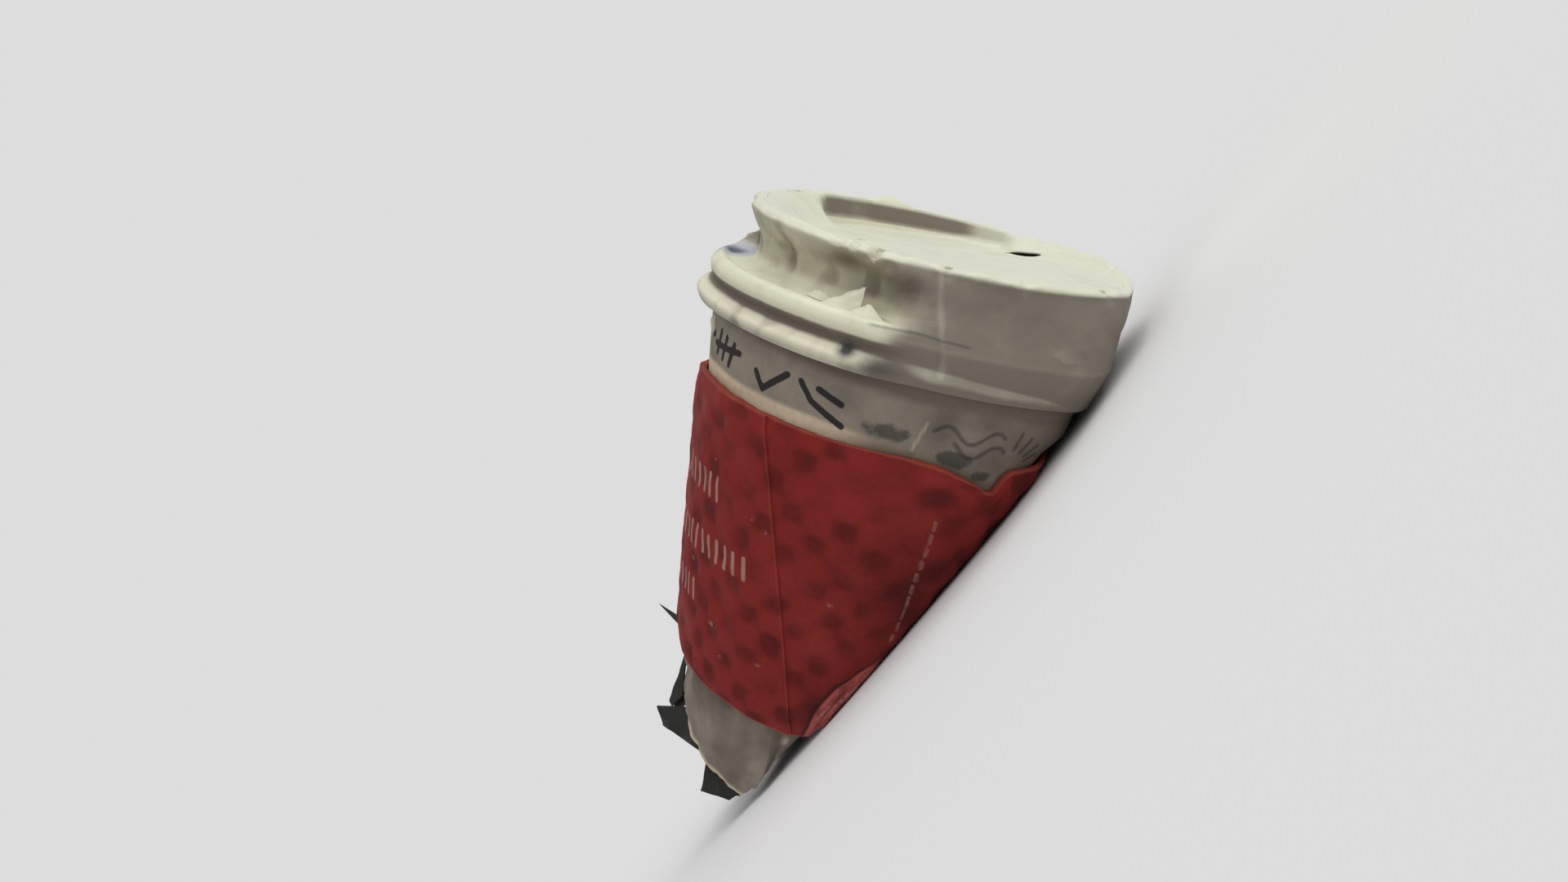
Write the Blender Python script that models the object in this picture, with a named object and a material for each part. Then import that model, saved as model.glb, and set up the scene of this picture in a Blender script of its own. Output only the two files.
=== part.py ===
"""Used paper coffee cup with its lid and sleeve, crushed flat along one side.

Every piece is modelled upright about the cup's own axis, in millimetres, with the crushed
flat facing +X. The whole cup is then laid down on that flat, which becomes the ground plane.
"""
import bpy
import bmesh
from math import cos, pi, radians, sin, sqrt, tan
from mathutils import Euler, Vector

MM = 0.001

# Cup wall: rolled paperboard with a curled rim
CUP_HEIGHT = 113.4
CUP_BASE_RADIUS = 31.3
CUP_MOUTH_RADIUS = 43.3
WALL_THICKNESS = 0.5
CURL_RADIUS = 1.05
TORN_EDGE = 3.4
TORN_EDGE_RISE = 5.5
TORN_EDGE_RISE_ANGLE = -175.0
TORN_EDGE_RISE_WIDTH = 75.0
TORN_EDGE_WAVE = 0.25
CRUMPLE_DEPTH = 0.7
CRUMPLE_HEIGHT = 24.0
SLIVER_LENGTH = 12.5
SLIVER_HEIGHT = 15.2
SLIVER_ANGLE = 176.0
SLIVER_THICKNESS = 0.4

# Cup bottom: a disc with a skirt, burst open at the base
BOTTOM_RECESS = 3.6
BOTTOM_THICKNESS = 0.5
BOTTOM_GAP = 0.4
BOTTOM_BUCKLE = 2.2

# Sleeve: embossed paperboard
SLEEVE_BOTTOM = 29.5
BAND_HEIGHT = 11.1
SLEEVE_THICKNESS = 1.6
SLEEVE_GAP = 0.5
SLEEVE_FLARE = 0.6
SLEEVE_PLY = 0.45
PLY_START = 24.0
PLY_FULL = 16.0
SEAM_TWIST_WIDTH = 45.0
EDGE_BEVEL = 0.4
EMBOSS_DEPTH = 0.35
SEAM_ANGLE_TOP = -114.0
SEAM_ANGLE_BOTTOM = -89.0
TOP_EDGE_SLOPE = (0.034, 0.021)
BOTTOM_EDGE_SLOPE = (0.062, 0.073)
NOTCH_ANGLE = -57.0
NOTCH_WIDTH = 10.0
NOTCH_DEPTH = 4.5
SLIP_ANGLE = 176.0
SLIP_WIDTH = 45.0
SLIP_DEPTH = 4.5

# Lid: thin formed plastic
LID_THICKNESS = 0.5
LID_CLEARANCE = 0.4
LID_RISE = 15.3
LID_RIM_RADIUS = 40.0
NECK_DEPTH = 3.2
FAR_NECK_ANGLE = 115.0
FAR_NECK_WIDTH = 50.0
FAR_NECK_FILL = 2.2
FLUTE_ANGLE = -131.0
FLUTE_WIDTH = 9.0
FLUTE_DEPTH = 0.9
DENT_ANGLE = -96.0
DENT_WIDTH = 15.0
DENT_DEPTH = 1.3
LEDGE_RISE = 2.2
SKIRT_DROP = 7.1
SKIRT_FLARE = 1.1
PANEL_DROP = 3.0
PANEL_SLOPE = (0.085, -0.050)
PANEL_CLEARANCE = 1.2
POP_UP_ANGLE = 178.0
POP_UP_WIDTH = 24.0
POP_UP_HEIGHT = 4.5
POP_UP_REACH = 2.0
POP_UP_PULL = 2.5
MOUTH_SLOPE = 0.044
SIP_SLOT_LENGTH = 12.0
SIP_SLOT_WIDTH = 5.4
SIP_SLOT_RADIUS = 30.0
SIP_SLOT_ANGLE = 62.0
VENT_RADIUS = 0.9
VENT_PLACE = (-14.0, -11.0)
CUTTER_REACH = 6.0
SMEAR_START = (-94.0, -76.0)
SMEAR_END = (70.0, 95.0)

# Crushed side: how far the flat lies from the cup's axis at height 0, and how it slopes away
FLAT_AT_BASE = -5.2
FLAT_ANGLE = 22.3
CREASE_SOFTNESS = 5.0

# Mesh fineness
COLUMNS = 60
SLEEVE_ROWS = 18
COVERED_ROWS = 8


# Shape helpers

def soft_min(value, limit, softness):
    """The smaller of two values, blended where they are close."""
    share = min(max(0.5 + 0.5 * (limit - value) / softness, 0.0), 1.0)
    return limit * (1.0 - share) + value * share - softness * share * (1.0 - share)


def ramp(value, start, end):
    """0 before start, 1 past end and smooth between them."""
    share = min(max((value - start) / (end - start), 0.0), 1.0)
    return share * share * (3.0 - 2.0 * share)


def turn_between(angle, centre):
    """Signed turn in degrees from centre to angle, the short way round."""
    return (angle - centre + 180.0) % 360.0 - 180.0


def hump(angle, centre, half_width):
    """A smooth bump of height 1 on the circle, in degrees."""
    return 1.0 - ramp(abs(turn_between(angle, centre)), 0.0, half_width)


def along(knots, value):
    """Straight lines between knots of (position, value)."""
    for (start, low), (end, high) in zip(knots, knots[1:]):
        if value <= end:
            share = max(value - start, 0.0) / (end - start)
            return low + (high - low) * share
    return knots[-1][1]


def floor_distance(height):
    """Distance from the cup's axis to the ground plane at a height."""
    return FLAT_AT_BASE + height * tan(radians(FLAT_ANGLE))


def pressed(radius, angle, height, flat):
    """A point of a ring whose +X side is pushed in to the flat."""
    turn = radians(angle)
    across = soft_min(radius * cos(turn), flat, CREASE_SOFTNESS)
    return Vector((across, radius * sin(turn), height))


def column_angles():
    return [360.0 * index / COLUMNS - 180.0 for index in range(COLUMNS)]


def material(name, colour, roughness):
    made = bpy.data.materials.new(name)
    made.use_nodes = True
    shader = made.node_tree.nodes["Principled BSDF"]
    shader.inputs["Base Color"].default_value = (*colour, 1.0)
    shader.inputs["Roughness"].default_value = roughness
    shader.inputs["Metallic"].default_value = 0.0
    return made


def closed_body(name, rings, surface, poles=None):
    """Skin rings of points into one closed body.

    Without poles the last ring joins the first, as in a tube with thick walls.
    With two poles the first and last rings close on a point each, as in a thick dish.
    """
    mesh = bmesh.new()
    loops = [[mesh.verts.new(point * MM) for point in ring] for ring in rings]
    pairs = list(zip(loops, loops[1:]))
    if poles is None:
        pairs.append((loops[-1], loops[0]))
    for lower, upper in pairs:
        for index in range(len(lower)):
            after = (index + 1) % len(lower)
            mesh.faces.new((lower[index], lower[after], upper[after], upper[index]))
    if poles is not None:
        for pole, loop in zip(poles, (loops[0], loops[-1])):
            centre = mesh.verts.new(pole * MM)
            for index in range(len(loop)):
                mesh.faces.new((centre, loop[index], loop[(index + 1) % len(loop)]))
    bmesh.ops.recalc_face_normals(mesh, faces=mesh.faces)
    data = bpy.data.meshes.new(name)
    mesh.to_mesh(data)
    mesh.free()
    data.shade_smooth()
    data.set_sharp_from_angle(angle=radians(35.0))
    data.materials.append(surface)
    body = bpy.data.objects.new(name, data)
    bpy.context.collection.objects.link(body)
    return body


def cutter(name, mesh_builder, place):
    """A hidden object that a Boolean uses, placed in the cup's frame."""
    mesh = bmesh.new()
    mesh_builder(mesh)
    data = bpy.data.meshes.new(name)
    mesh.to_mesh(data)
    mesh.free()
    tool = bpy.data.objects.new(name, data)
    bpy.context.collection.objects.link(tool)
    tool.location = place * MM
    tool.hide_render = True
    tool.display_type = 'WIRE'
    return tool


def combine(body, tool, operation):
    step = body.modifiers.new(tool.name, 'BOOLEAN')
    step.operation = operation
    step.solver = 'EXACT'
    step.object = tool


# Cup wall surface, which every other piece follows

CURL_CENTRE = CUP_HEIGHT - CURL_RADIUS
SKIRT_EDGE = CURL_CENTRE - SKIRT_DROP
SLEEVE_TOP = SKIRT_EDGE - BAND_HEIGHT
SLEEVE_HEIGHT = SLEEVE_TOP - SLEEVE_BOTTOM
SLEEVE_STANDOFF = SLEEVE_GAP + SLEEVE_THICKNESS
BOTTOM_HEIGHT = TORN_EDGE + TORN_EDGE_RISE + BOTTOM_RECESS

# Clearance between the wall and the ground beyond the sleeve's own stand-off:
# it bulges between sleeve and lid, and above the mouth the lid's side stands upright
WALL_LIFT = [
    (0.0, 0.3),
    (SLEEVE_BOTTOM - 5.0, 0.0),
    (SLEEVE_TOP + 0.2 * BAND_HEIGHT, 0.0),
    (SLEEVE_TOP + 0.5 * BAND_HEIGHT, -1.5),
    (SKIRT_EDGE, 0.3),
    (CUP_HEIGHT, 1.6),
    (CUP_HEIGHT + 6.0, 1.6 + 6.0 * tan(radians(FLAT_ANGLE))),
]


def wall_flat(height):
    return floor_distance(height) - SLEEVE_STANDOFF - along(WALL_LIFT, height)


def crumple(angle, height):
    """Inward folds around the crushed base end."""
    strength = CRUMPLE_DEPTH * (1.0 - ramp(height, 0.0, CRUMPLE_HEIGHT))
    folds = cos(radians(9.0 * angle)) * 0.6 + cos(radians(5.0 * angle + 40.0)) * 0.4
    return -strength * (1.0 + folds) * 0.5


def wall_radius(angle, height):
    """Outer radius: a cone up to the lid's skirt and straight under the lid."""
    share = min(height, SKIRT_EDGE) / SKIRT_EDGE
    plain = CUP_BASE_RADIUS + (CUP_MOUTH_RADIUS - CUP_BASE_RADIUS) * share
    return plain + crumple(angle, height)


def wall_point(angle, height, offset):
    """A point at a distance outside the wall, or inside it where offset is negative."""
    return pressed(wall_radius(angle, height) + offset, angle, height, wall_flat(height) + offset)


def torn_edge(angle):
    """Height of the wall's torn lower edge."""
    rise = TORN_EDGE_RISE * hump(angle, TORN_EDGE_RISE_ANGLE, TORN_EDGE_RISE_WIDTH)
    return TORN_EDGE + rise + TORN_EDGE_WAVE * sin(radians(7.0 * angle))


def mouth_shift(angle):
    """How far the bent mouth and the lid's brim stand above their plain height."""
    return -MOUTH_SLOPE * CUP_MOUTH_RADIUS * sin(radians(angle))


# Cup sidewall: one shell from the torn base edge to the curled rim

CURL_OFFSET = 0.1

# The torn sliver's root: turn in degrees and rise in mm
SLIVER_ROOT = ((-7.0, -0.8), (-2.0, 0.6))

# Its free tips: turn in degrees, then rise and reach as shares of its length
SLIVER_TIPS = ((-0.5, 0.34, 0.6), (0.0, 0.5, 1.0), (-2.5, 0.25, 0.6))


def cup_sidewall():
    angles = column_angles()
    band_middle = SLEEVE_TOP + 0.5 * BAND_HEIGHT
    outer_heights = [BOTTOM_HEIGHT, 0.5 * (BOTTOM_HEIGHT + SLEEVE_BOTTOM)]
    outer_heights += [SLEEVE_BOTTOM + SLEEVE_HEIGHT * step / COVERED_ROWS for step in range(COVERED_ROWS + 1)]
    outer_heights += [SLEEVE_TOP + 0.3 * BAND_HEIGHT, band_middle, SKIRT_EDGE]

    def ring(height, offset):
        return [wall_point(angle, height, offset) for angle in angles]

    def mouth_ring(height, offset):
        return [wall_point(angle, height + mouth_shift(angle), offset) for angle in angles]

    rings = [[wall_point(angle, torn_edge(angle), 0.0) for angle in angles]]
    rings += [ring(height, 0.0) for height in outer_heights]
    rings.append(mouth_ring(CURL_CENTRE - CURL_RADIUS - 0.4, 0.0))
    for turn in (-70.0, -20.0, 30.0, 80.0, 140.0):
        rise = CURL_RADIUS * sin(radians(turn))
        rings.append(mouth_ring(CURL_CENTRE + rise, CURL_OFFSET + CURL_RADIUS * cos(radians(turn))))
    rings.append(mouth_ring(CURL_CENTRE - 2.0, -WALL_THICKNESS))
    rings += [ring(height, -WALL_THICKNESS) for height in reversed(outer_heights)]
    rings.append([wall_point(angle, torn_edge(angle), -WALL_THICKNESS) for angle in angles])
    body = closed_body("cup_sidewall", rings, material("stained_paper", (0.42, 0.38, 0.31), 0.8))
    root = [wall_point(SLIVER_ANGLE + turn, SLIVER_HEIGHT + rise, -0.5 * WALL_THICKNESS)
            for turn, rise in SLIVER_ROOT]
    tips = [wall_point(SLIVER_ANGLE + turn, SLIVER_HEIGHT + rise * SLIVER_LENGTH, reach * SLIVER_LENGTH)
            for turn, rise, reach in SLIVER_TIPS]
    combine(body, torn_flap("torn_sliver", root, tips, SLIVER_THICKNESS), 'UNION')
    return body


def torn_flap(name, root, tips, thickness):
    """A flat piece of torn paper from its root to its free tips, to be joined to its parent."""
    far_end = sum(tips, Vector()) / len(tips)
    across = (root[-1] - root[0]).cross(far_end - root[0]).normalized()
    corners = [corner - across * (corner - root[0]).dot(across) for corner in root + tips]
    half = across * 0.5 * thickness

    def build(mesh):
        near = [mesh.verts.new((corner + half) * MM) for corner in corners]
        far = [mesh.verts.new((corner - half) * MM) for corner in corners]
        faces = [mesh.faces.new(near), mesh.faces.new(list(reversed(far)))]
        for index in range(len(near)):
            after = (index + 1) % len(near)
            mesh.faces.new((near[after], near[index], far[index], far[after]))
        bmesh.ops.triangulate(mesh, faces=faces)
        bmesh.ops.recalc_face_normals(mesh, faces=mesh.faces)

    return cutter(name, build, Vector((0.0, 0.0, 0.0)))


# Cup bottom: disc, skirt and the torn tongues that hang out of the base

DISC_CENTRE = Vector((-12.0, 0.0))
SKIRT_DEPTH = WALL_THICKNESS + BOTTOM_GAP

# Tongues of torn paper: the angles where each leaves the skirt,
# then its corners as angle, reach outside the wall and drop below the torn edge
TONGUES = [
    ((-128.0, -141.0, -154.0), ((-160.0, 6.8, 3.9), (-156.0, 5.2, 7.7))),
    ((-98.0, -112.0, -126.0), ((-125.0, 0.0, 8.9), (-106.0, -0.8, 3.6))),
    ((-172.0, -178.0), ((-178.0, 1.2, 1.1), (-179.0, 2.7, -1.3), (-170.0, 3.3, 7.3))),
    ((135.0, 120.0, 105.0), ((112.0, 2.6, 3.0), (128.0, 3.2, 4.5))),
]
SKIRT_OVERHANG = 0.9
TONGUE_ROOT = 0.7


def cup_bottom():
    angles = column_angles()

    def skin(depth):
        """Rings from near the centre of the disc to the skirt's lower edge."""
        rings = []
        for share in (0.35, 0.7):
            height = BOTTOM_HEIGHT - BOTTOM_BUCKLE * cos(0.5 * pi * share) - depth
            ring = []
            for angle in angles:
                rim = wall_point(angle, BOTTOM_HEIGHT, -SKIRT_DEPTH).xy - DISC_CENTRE
                ring.append(Vector((*(rim * share + DISC_CENTRE), height)))
            rings.append(ring)
        rows = (
            (0.6 + 0.6 * depth, lambda angle: BOTTOM_HEIGHT - depth),
            (depth, lambda angle: BOTTOM_HEIGHT - 0.8),
            (depth, lambda angle: torn_edge(angle) + 0.6),
            (depth, lambda angle: torn_edge(angle) - SKIRT_OVERHANG),
        )
        for inward, height_at in rows:
            rings.append([wall_point(angle, height_at(angle), -SKIRT_DEPTH - inward) for angle in angles])
        return rings

    upper = skin(0.0)
    lower = skin(BOTTOM_THICKNESS)
    middle = Vector((*DISC_CENTRE, BOTTOM_HEIGHT - BOTTOM_BUCKLE))
    poles = (middle, middle - Vector((0.0, 0.0, BOTTOM_THICKNESS)))
    body = closed_body("cup_bottom", upper + lower[::-1],
                       material("dirty_paper", (0.06, 0.06, 0.055), 0.85), poles)
    for number, (root_angles, tips) in enumerate(TONGUES):
        root_depth = SKIRT_DEPTH + 0.5 * BOTTOM_THICKNESS
        root = [wall_point(angle, torn_edge(angle) - TONGUE_ROOT, -root_depth) for angle in root_angles]
        free = [wall_point(angle, torn_edge(angle) - drop, reach) for angle, reach, drop in tips]
        combine(body, torn_flap(f"tongue_{number + 1}", root, free, BOTTOM_THICKNESS), 'UNION')
    return body


# Sleeve: embossed band with a slanting lapped seam and a torn notch

def seam_angle(height):
    share = (height - SLEEVE_BOTTOM) / SLEEVE_HEIGHT
    return SEAM_ANGLE_BOTTOM + (SEAM_ANGLE_TOP - SEAM_ANGLE_BOTTOM) * share


def sleeve_edges(angle):
    """Heights of the sleeve's lower and upper edge at an angle."""
    spot = wall_point(angle, SLEEVE_BOTTOM, SLEEVE_STANDOFF)
    low = SLEEVE_BOTTOM + BOTTOM_EDGE_SLOPE[0] * spot.x + BOTTOM_EDGE_SLOPE[1] * spot.y
    spot = wall_point(angle, SLEEVE_TOP, SLEEVE_STANDOFF)
    high = SLEEVE_TOP + TOP_EDGE_SLOPE[0] * spot.x + TOP_EDGE_SLOPE[1] * spot.y
    high -= NOTCH_DEPTH * hump(angle, NOTCH_ANGLE, NOTCH_WIDTH)
    high -= SLIP_DEPTH * hump(angle, SLIP_ANGLE, SLIP_WIDTH)
    return low, high


def sleeve():
    base_angles = column_angles()
    middle_seam = 0.5 * (SEAM_ANGLE_TOP + SEAM_ANGLE_BOTTOM)
    seam_column = min(range(COLUMNS), key=lambda index: abs(turn_between(base_angles[index], middle_seam)))
    angles = base_angles[:seam_column + 1] + [base_angles[seam_column] + 0.7] + base_angles[seam_column + 1:]

    def ring(share, offset, twisted=True, row=None):
        points = []
        for index, angle in enumerate(angles):
            low, high = sleeve_edges(angle)
            height = low + (high - low) * share
            turned = angle
            relief = 0.0
            if twisted:
                shift = seam_angle(height) - base_angles[seam_column]
                turned += shift * hump(angle, base_angles[seam_column], SEAM_TWIST_WIDTH)
            if row is not None:
                lap = turn_between(turned, seam_angle(height))
                if -PLY_START < lap <= 0.01:
                    relief += SLEEVE_PLY * ramp(lap, -PLY_START, -PLY_FULL)
                if 0 < row < SLEEVE_ROWS and (row + index) % 2 == 0:
                    relief -= EMBOSS_DEPTH
            flare = SLEEVE_FLARE * share
            radius = wall_radius(turned, height) + offset + flare + relief
            points.append(pressed(radius, turned, height, wall_flat(height) + offset))
        return points

    rings = [ring(row / SLEEVE_ROWS, SLEEVE_STANDOFF, row=row) for row in range(SLEEVE_ROWS + 1)]
    rings.append(ring(1.0, SLEEVE_GAP + EDGE_BEVEL))
    for row in reversed(range(COVERED_ROWS + 1)):
        rings.append(ring(row / COVERED_ROWS, SLEEVE_GAP, twisted=False))
    rings.append(ring(0.0, SLEEVE_GAP + EDGE_BEVEL))
    return closed_body("sleeve", rings, material("red_board", (0.33, 0.03, 0.03), 0.7))


# Lid: crisp beads on the left, smeared flat on the crushed side

BEAD_RADIUS = CUP_MOUTH_RADIUS + CURL_OFFSET + CURL_RADIUS + LID_CLEARANCE + LID_THICKNESS
RIM_TOP = CURL_CENTRE + LID_RISE


def lid_profiles():
    """Outer rows of (radius, height) from the rim's inside down to the skirt's edge."""
    rim, top, ledge, bead = LID_RIM_RADIUS, RIM_TOP, CURL_CENTRE + LEDGE_RISE, BEAD_RADIUS
    neck, skirt = LID_RIM_RADIUS - NECK_DEPTH, BEAD_RADIUS + SKIRT_FLARE
    crisp = [
        (rim - 2.4, top - 0.9),
        (rim - 1.3, top),
        (rim - 0.3, top - 0.6),
        (rim, top - 2.0),
        (neck, top - 6.8),
        (neck - 0.2, ledge + 2.4),
        (neck + 0.8, ledge + 0.8),
        (bead - 1.6, ledge),
        (bead - 0.3, ledge - 0.8),
        (bead, CURL_CENTRE),
        (bead - 0.4, CURL_CENTRE - 1.8),
        (bead - 0.8, CURL_CENTRE - 3.2),
        (skirt - 0.9, CURL_CENTRE - 4.6),
        (skirt, CURL_CENTRE - 6.0),
        (skirt, SKIRT_EDGE),
    ]
    smeared = crisp[:4] + [
        (rim + 0.2 * (bead - rim), top - 6.0),
        (rim + 0.5 * (bead - rim), ledge + 2.6),
        (rim + 0.7 * (bead - rim), ledge + 1.0),
        (bead - 0.8, ledge - 0.3),
        (bead - 0.3, ledge - 1.1),
        (bead, CURL_CENTRE),
        (bead + 0.1, CURL_CENTRE - 1.8),
        (bead + 0.2, CURL_CENTRE - 3.2),
        (skirt - 0.7, CURL_CENTRE - 4.6),
        (skirt - 0.5, CURL_CENTRE - 6.0),
        (skirt - 0.3, SKIRT_EDGE),
    ]
    return crisp, smeared


NECK_ROWS = range(4, 7)
POP_UP_ROW = 6


def lid_section(angle):
    """Outer rows of the lid at one angle, dented and smeared as the real one."""
    crisp, smeared = lid_profiles()
    turned = turn_between(angle, 0.0)
    smear = ramp(turned, *SMEAR_START) * (1.0 - ramp(turned, *SMEAR_END))
    pop = hump(angle, POP_UP_ANGLE, POP_UP_WIDTH)
    rows = []
    for row, ((r_crisp, z_crisp), (r_smear, z_smear)) in enumerate(zip(crisp, smeared)):
        radius = r_crisp + (r_smear - r_crisp) * smear
        height = z_crisp + (z_smear - z_crisp) * smear
        if row in NECK_ROWS:
            radius += FAR_NECK_FILL * hump(angle, FAR_NECK_ANGLE, FAR_NECK_WIDTH)
            radius -= FLUTE_DEPTH * hump(angle, FLUTE_ANGLE, FLUTE_WIDTH)
            radius -= DENT_DEPTH * hump(angle, DENT_ANGLE, DENT_WIDTH)
        height += mouth_shift(angle) * min(max(row - NECK_ROWS[0], 0) / 2.0, 1.0)
        if row == POP_UP_ROW:
            radius += POP_UP_REACH * pop
            height += POP_UP_HEIGHT * pop
        if row == POP_UP_ROW + 1:
            radius -= POP_UP_PULL * pop
            height += 0.7 * POP_UP_HEIGHT * pop
        rows.append((radius, height))
    waist = min(rows[row][0] for row in NECK_ROWS)
    edge = min(rows[0][0] - 0.8, waist - LID_THICKNESS - PANEL_CLEARANCE)
    return [(edge, min(panel_level(edge, angle), rows[0][1] + 0.3))] + rows


def inset(rows, distance):
    """The rows moved inwards, square to the profile."""
    moved = []
    for index, (radius, height) in enumerate(rows):
        before = rows[max(index - 1, 0)]
        after = rows[min(index + 1, len(rows) - 1)]
        run, rise = after[0] - before[0], after[1] - before[1]
        length = sqrt(run * run + rise * rise)
        moved.append((radius + rise / length * distance, height - run / length * distance))
    return moved


def panel_level(reach, angle):
    turn = radians(angle)
    return RIM_TOP - PANEL_DROP + reach * (PANEL_SLOPE[0] * cos(turn) + PANEL_SLOPE[1] * sin(turn))


def lid():
    angles = column_angles()
    curl_reach = CURL_OFFSET + CURL_RADIUS + LID_CLEARANCE
    outer = [lid_section(angle) for angle in angles]
    inner = [inset(rows, LID_THICKNESS) for rows in outer]

    def panel_ring(share, depth):
        points = []
        for angle, rows in zip(angles, outer):
            reach = rows[0][0] * share
            turn = radians(angle)
            level = panel_level(reach, angle) - depth
            points.append(Vector((reach * cos(turn), reach * sin(turn), level)))
        return points

    def shell_ring(sections, row, flat_reach):
        points = []
        for angle, rows in zip(angles, sections):
            radius, height = rows[row]
            points.append(pressed(radius, angle, height, wall_flat(height) + flat_reach))
        return points

    count = len(outer[0])
    rings = [panel_ring(0.4, 0.0), panel_ring(0.8, 0.0)]
    rings += [shell_ring(outer, row, curl_reach + LID_THICKNESS) for row in range(count)]
    rings += [shell_ring(inner, row, curl_reach) for row in reversed(range(count))]
    rings += [panel_ring(0.8, LID_THICKNESS), panel_ring(0.4, LID_THICKNESS)]
    centre = Vector((0.0, 0.0, panel_level(0.0, 0.0)))
    poles = (centre, centre - Vector((0.0, 0.0, LID_THICKNESS)))
    body = closed_body("lid", rings, material("cream_plastic", (0.62, 0.60, 0.47), 0.45), poles)
    combine(body, sip_slot(), 'DIFFERENCE')
    combine(body, vent_hole(), 'DIFFERENCE')
    return body


def sip_slot():
    """Rounded slot near the rim, its length along the rim."""
    turn = radians(SIP_SLOT_ANGLE)
    half = 0.5 * (SIP_SLOT_LENGTH - SIP_SLOT_WIDTH)
    radius = 0.5 * SIP_SLOT_WIDTH

    def slot(mesh):
        outline = []
        for centre, first in ((half, -90.0), (-half, 90.0)):
            for step in range(7):
                bend = radians(first + 30.0 * step)
                outline.append((centre + radius * cos(bend), radius * sin(bend)))
        corners = []
        for u, v in outline:
            across = cos(turn) * v - sin(turn) * u
            along_y = cos(turn) * u + sin(turn) * v
            corners.append(mesh.verts.new(Vector((across, along_y, -CUTTER_REACH)) * MM))
        face = mesh.faces.new(corners)
        lifted = bmesh.ops.extrude_face_region(mesh, geom=[face])
        tops = [item for item in lifted["geom"] if isinstance(item, bmesh.types.BMVert)]
        bmesh.ops.translate(mesh, verts=tops, vec=(0.0, 0.0, 2.0 * CUTTER_REACH * MM))
        bmesh.ops.recalc_face_normals(mesh, faces=mesh.faces)

    place = Vector((SIP_SLOT_RADIUS * cos(turn), SIP_SLOT_RADIUS * sin(turn), RIM_TOP - PANEL_DROP))
    return cutter("sip_slot", slot, place)


def vent_hole():
    def drill(mesh):
        bmesh.ops.create_cone(mesh, cap_ends=True, segments=10, radius1=VENT_RADIUS * MM,
                              radius2=VENT_RADIUS * MM, depth=2.0 * CUTTER_REACH * MM)

    return cutter("vent_hole", drill, Vector((*VENT_PLACE, RIM_TOP - PANEL_DROP)))


# The whole cup, laid on its crushed flat

def lay_down(pieces):
    """Turn the cup on its side so that the crushed flat lies on the ground.

    The origin is the middle of the sleeve's flat, and +X runs towards the lid.
    """
    rest_height = SLEEVE_BOTTOM + 0.5 * SLEEVE_HEIGHT
    rest_point = Vector((floor_distance(rest_height), 0.0, rest_height)) * MM
    axis = bpy.data.objects.new("cup_axis", None)
    bpy.context.collection.objects.link(axis)
    axis.rotation_euler = Euler((0.0, radians(90.0 - FLAT_ANGLE), 0.0))
    axis.location = -(axis.rotation_euler.to_matrix() @ rest_point)
    for piece in pieces:
        piece.parent = axis
        for step in piece.modifiers:
            step.object.parent = axis


for item in list(bpy.data.objects):
    bpy.data.objects.remove(item, do_unlink=True)

lay_down([cup_sidewall(), cup_bottom(), sleeve(), lid()])
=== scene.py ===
from math import cos, radians, sin, tan

import bpy
import numpy as np
from mathutils import Euler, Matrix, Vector, noise


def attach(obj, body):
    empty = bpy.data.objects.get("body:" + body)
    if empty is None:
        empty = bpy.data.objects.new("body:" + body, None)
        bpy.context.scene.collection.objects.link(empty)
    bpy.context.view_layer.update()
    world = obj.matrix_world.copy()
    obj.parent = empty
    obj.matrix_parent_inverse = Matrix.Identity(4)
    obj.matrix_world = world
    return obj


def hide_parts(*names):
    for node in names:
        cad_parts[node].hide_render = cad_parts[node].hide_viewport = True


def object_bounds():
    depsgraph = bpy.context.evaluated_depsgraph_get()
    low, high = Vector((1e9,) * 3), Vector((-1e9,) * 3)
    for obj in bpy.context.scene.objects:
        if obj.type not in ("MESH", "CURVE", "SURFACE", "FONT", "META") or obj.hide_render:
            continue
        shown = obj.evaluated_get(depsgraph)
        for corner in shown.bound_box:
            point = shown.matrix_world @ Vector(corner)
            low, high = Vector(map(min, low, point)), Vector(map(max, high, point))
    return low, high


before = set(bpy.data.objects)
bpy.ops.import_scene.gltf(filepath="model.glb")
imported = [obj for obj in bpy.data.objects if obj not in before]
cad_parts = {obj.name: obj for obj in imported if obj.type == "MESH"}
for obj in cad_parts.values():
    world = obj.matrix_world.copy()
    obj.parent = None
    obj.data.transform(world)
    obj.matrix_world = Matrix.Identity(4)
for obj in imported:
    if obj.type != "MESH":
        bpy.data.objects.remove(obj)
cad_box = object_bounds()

# The cup's sidewall
# Paperboard rolled to a cone and glued along one side, with a thin lining and a curled rim.
# One flank is crushed flat, the base end is crumpled and its lower edge is torn.

CUP_HEIGHT = 113.4
CUP_BASE_RADIUS = 31.3
CUP_MOUTH_RADIUS = 43.3
WALL_THICKNESS = 0.5
CURL_RADIUS = 1.05
CURL_OFFSET = 0.1
TORN_EDGE = 3.4
TORN_EDGE_RISE = 5.5
CRUMPLE_DEPTH = 0.7
CRUMPLE_HEIGHT = 24.0
SLEEVE_BOTTOM = 29.5
SLEEVE_STANDOFF = 2.1
SLEEVE_TOP = 94.15
BAND_HEIGHT = 11.1
SKIRT_EDGE = 105.25
CURL_CENTRE = CUP_HEIGHT - CURL_RADIUS
MOUTH_SLOPE = 0.044
FLAT_AT_BASE = -5.2
FLAT_ANGLE = 22.3
CREASE_SOFTNESS = 5.0
TOP_EDGE_SLOPE = (0.034, 0.021)
BOTTOM_EDGE_SLOPE = (0.062, 0.073)
NOTCH_ANGLE = -57.0
NOTCH_DEPTH = 4.5
TEAR_TURNS = [-16.0, -12.0, -6.0, 2.0, 4.0, 5.5, 7.5]
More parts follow.
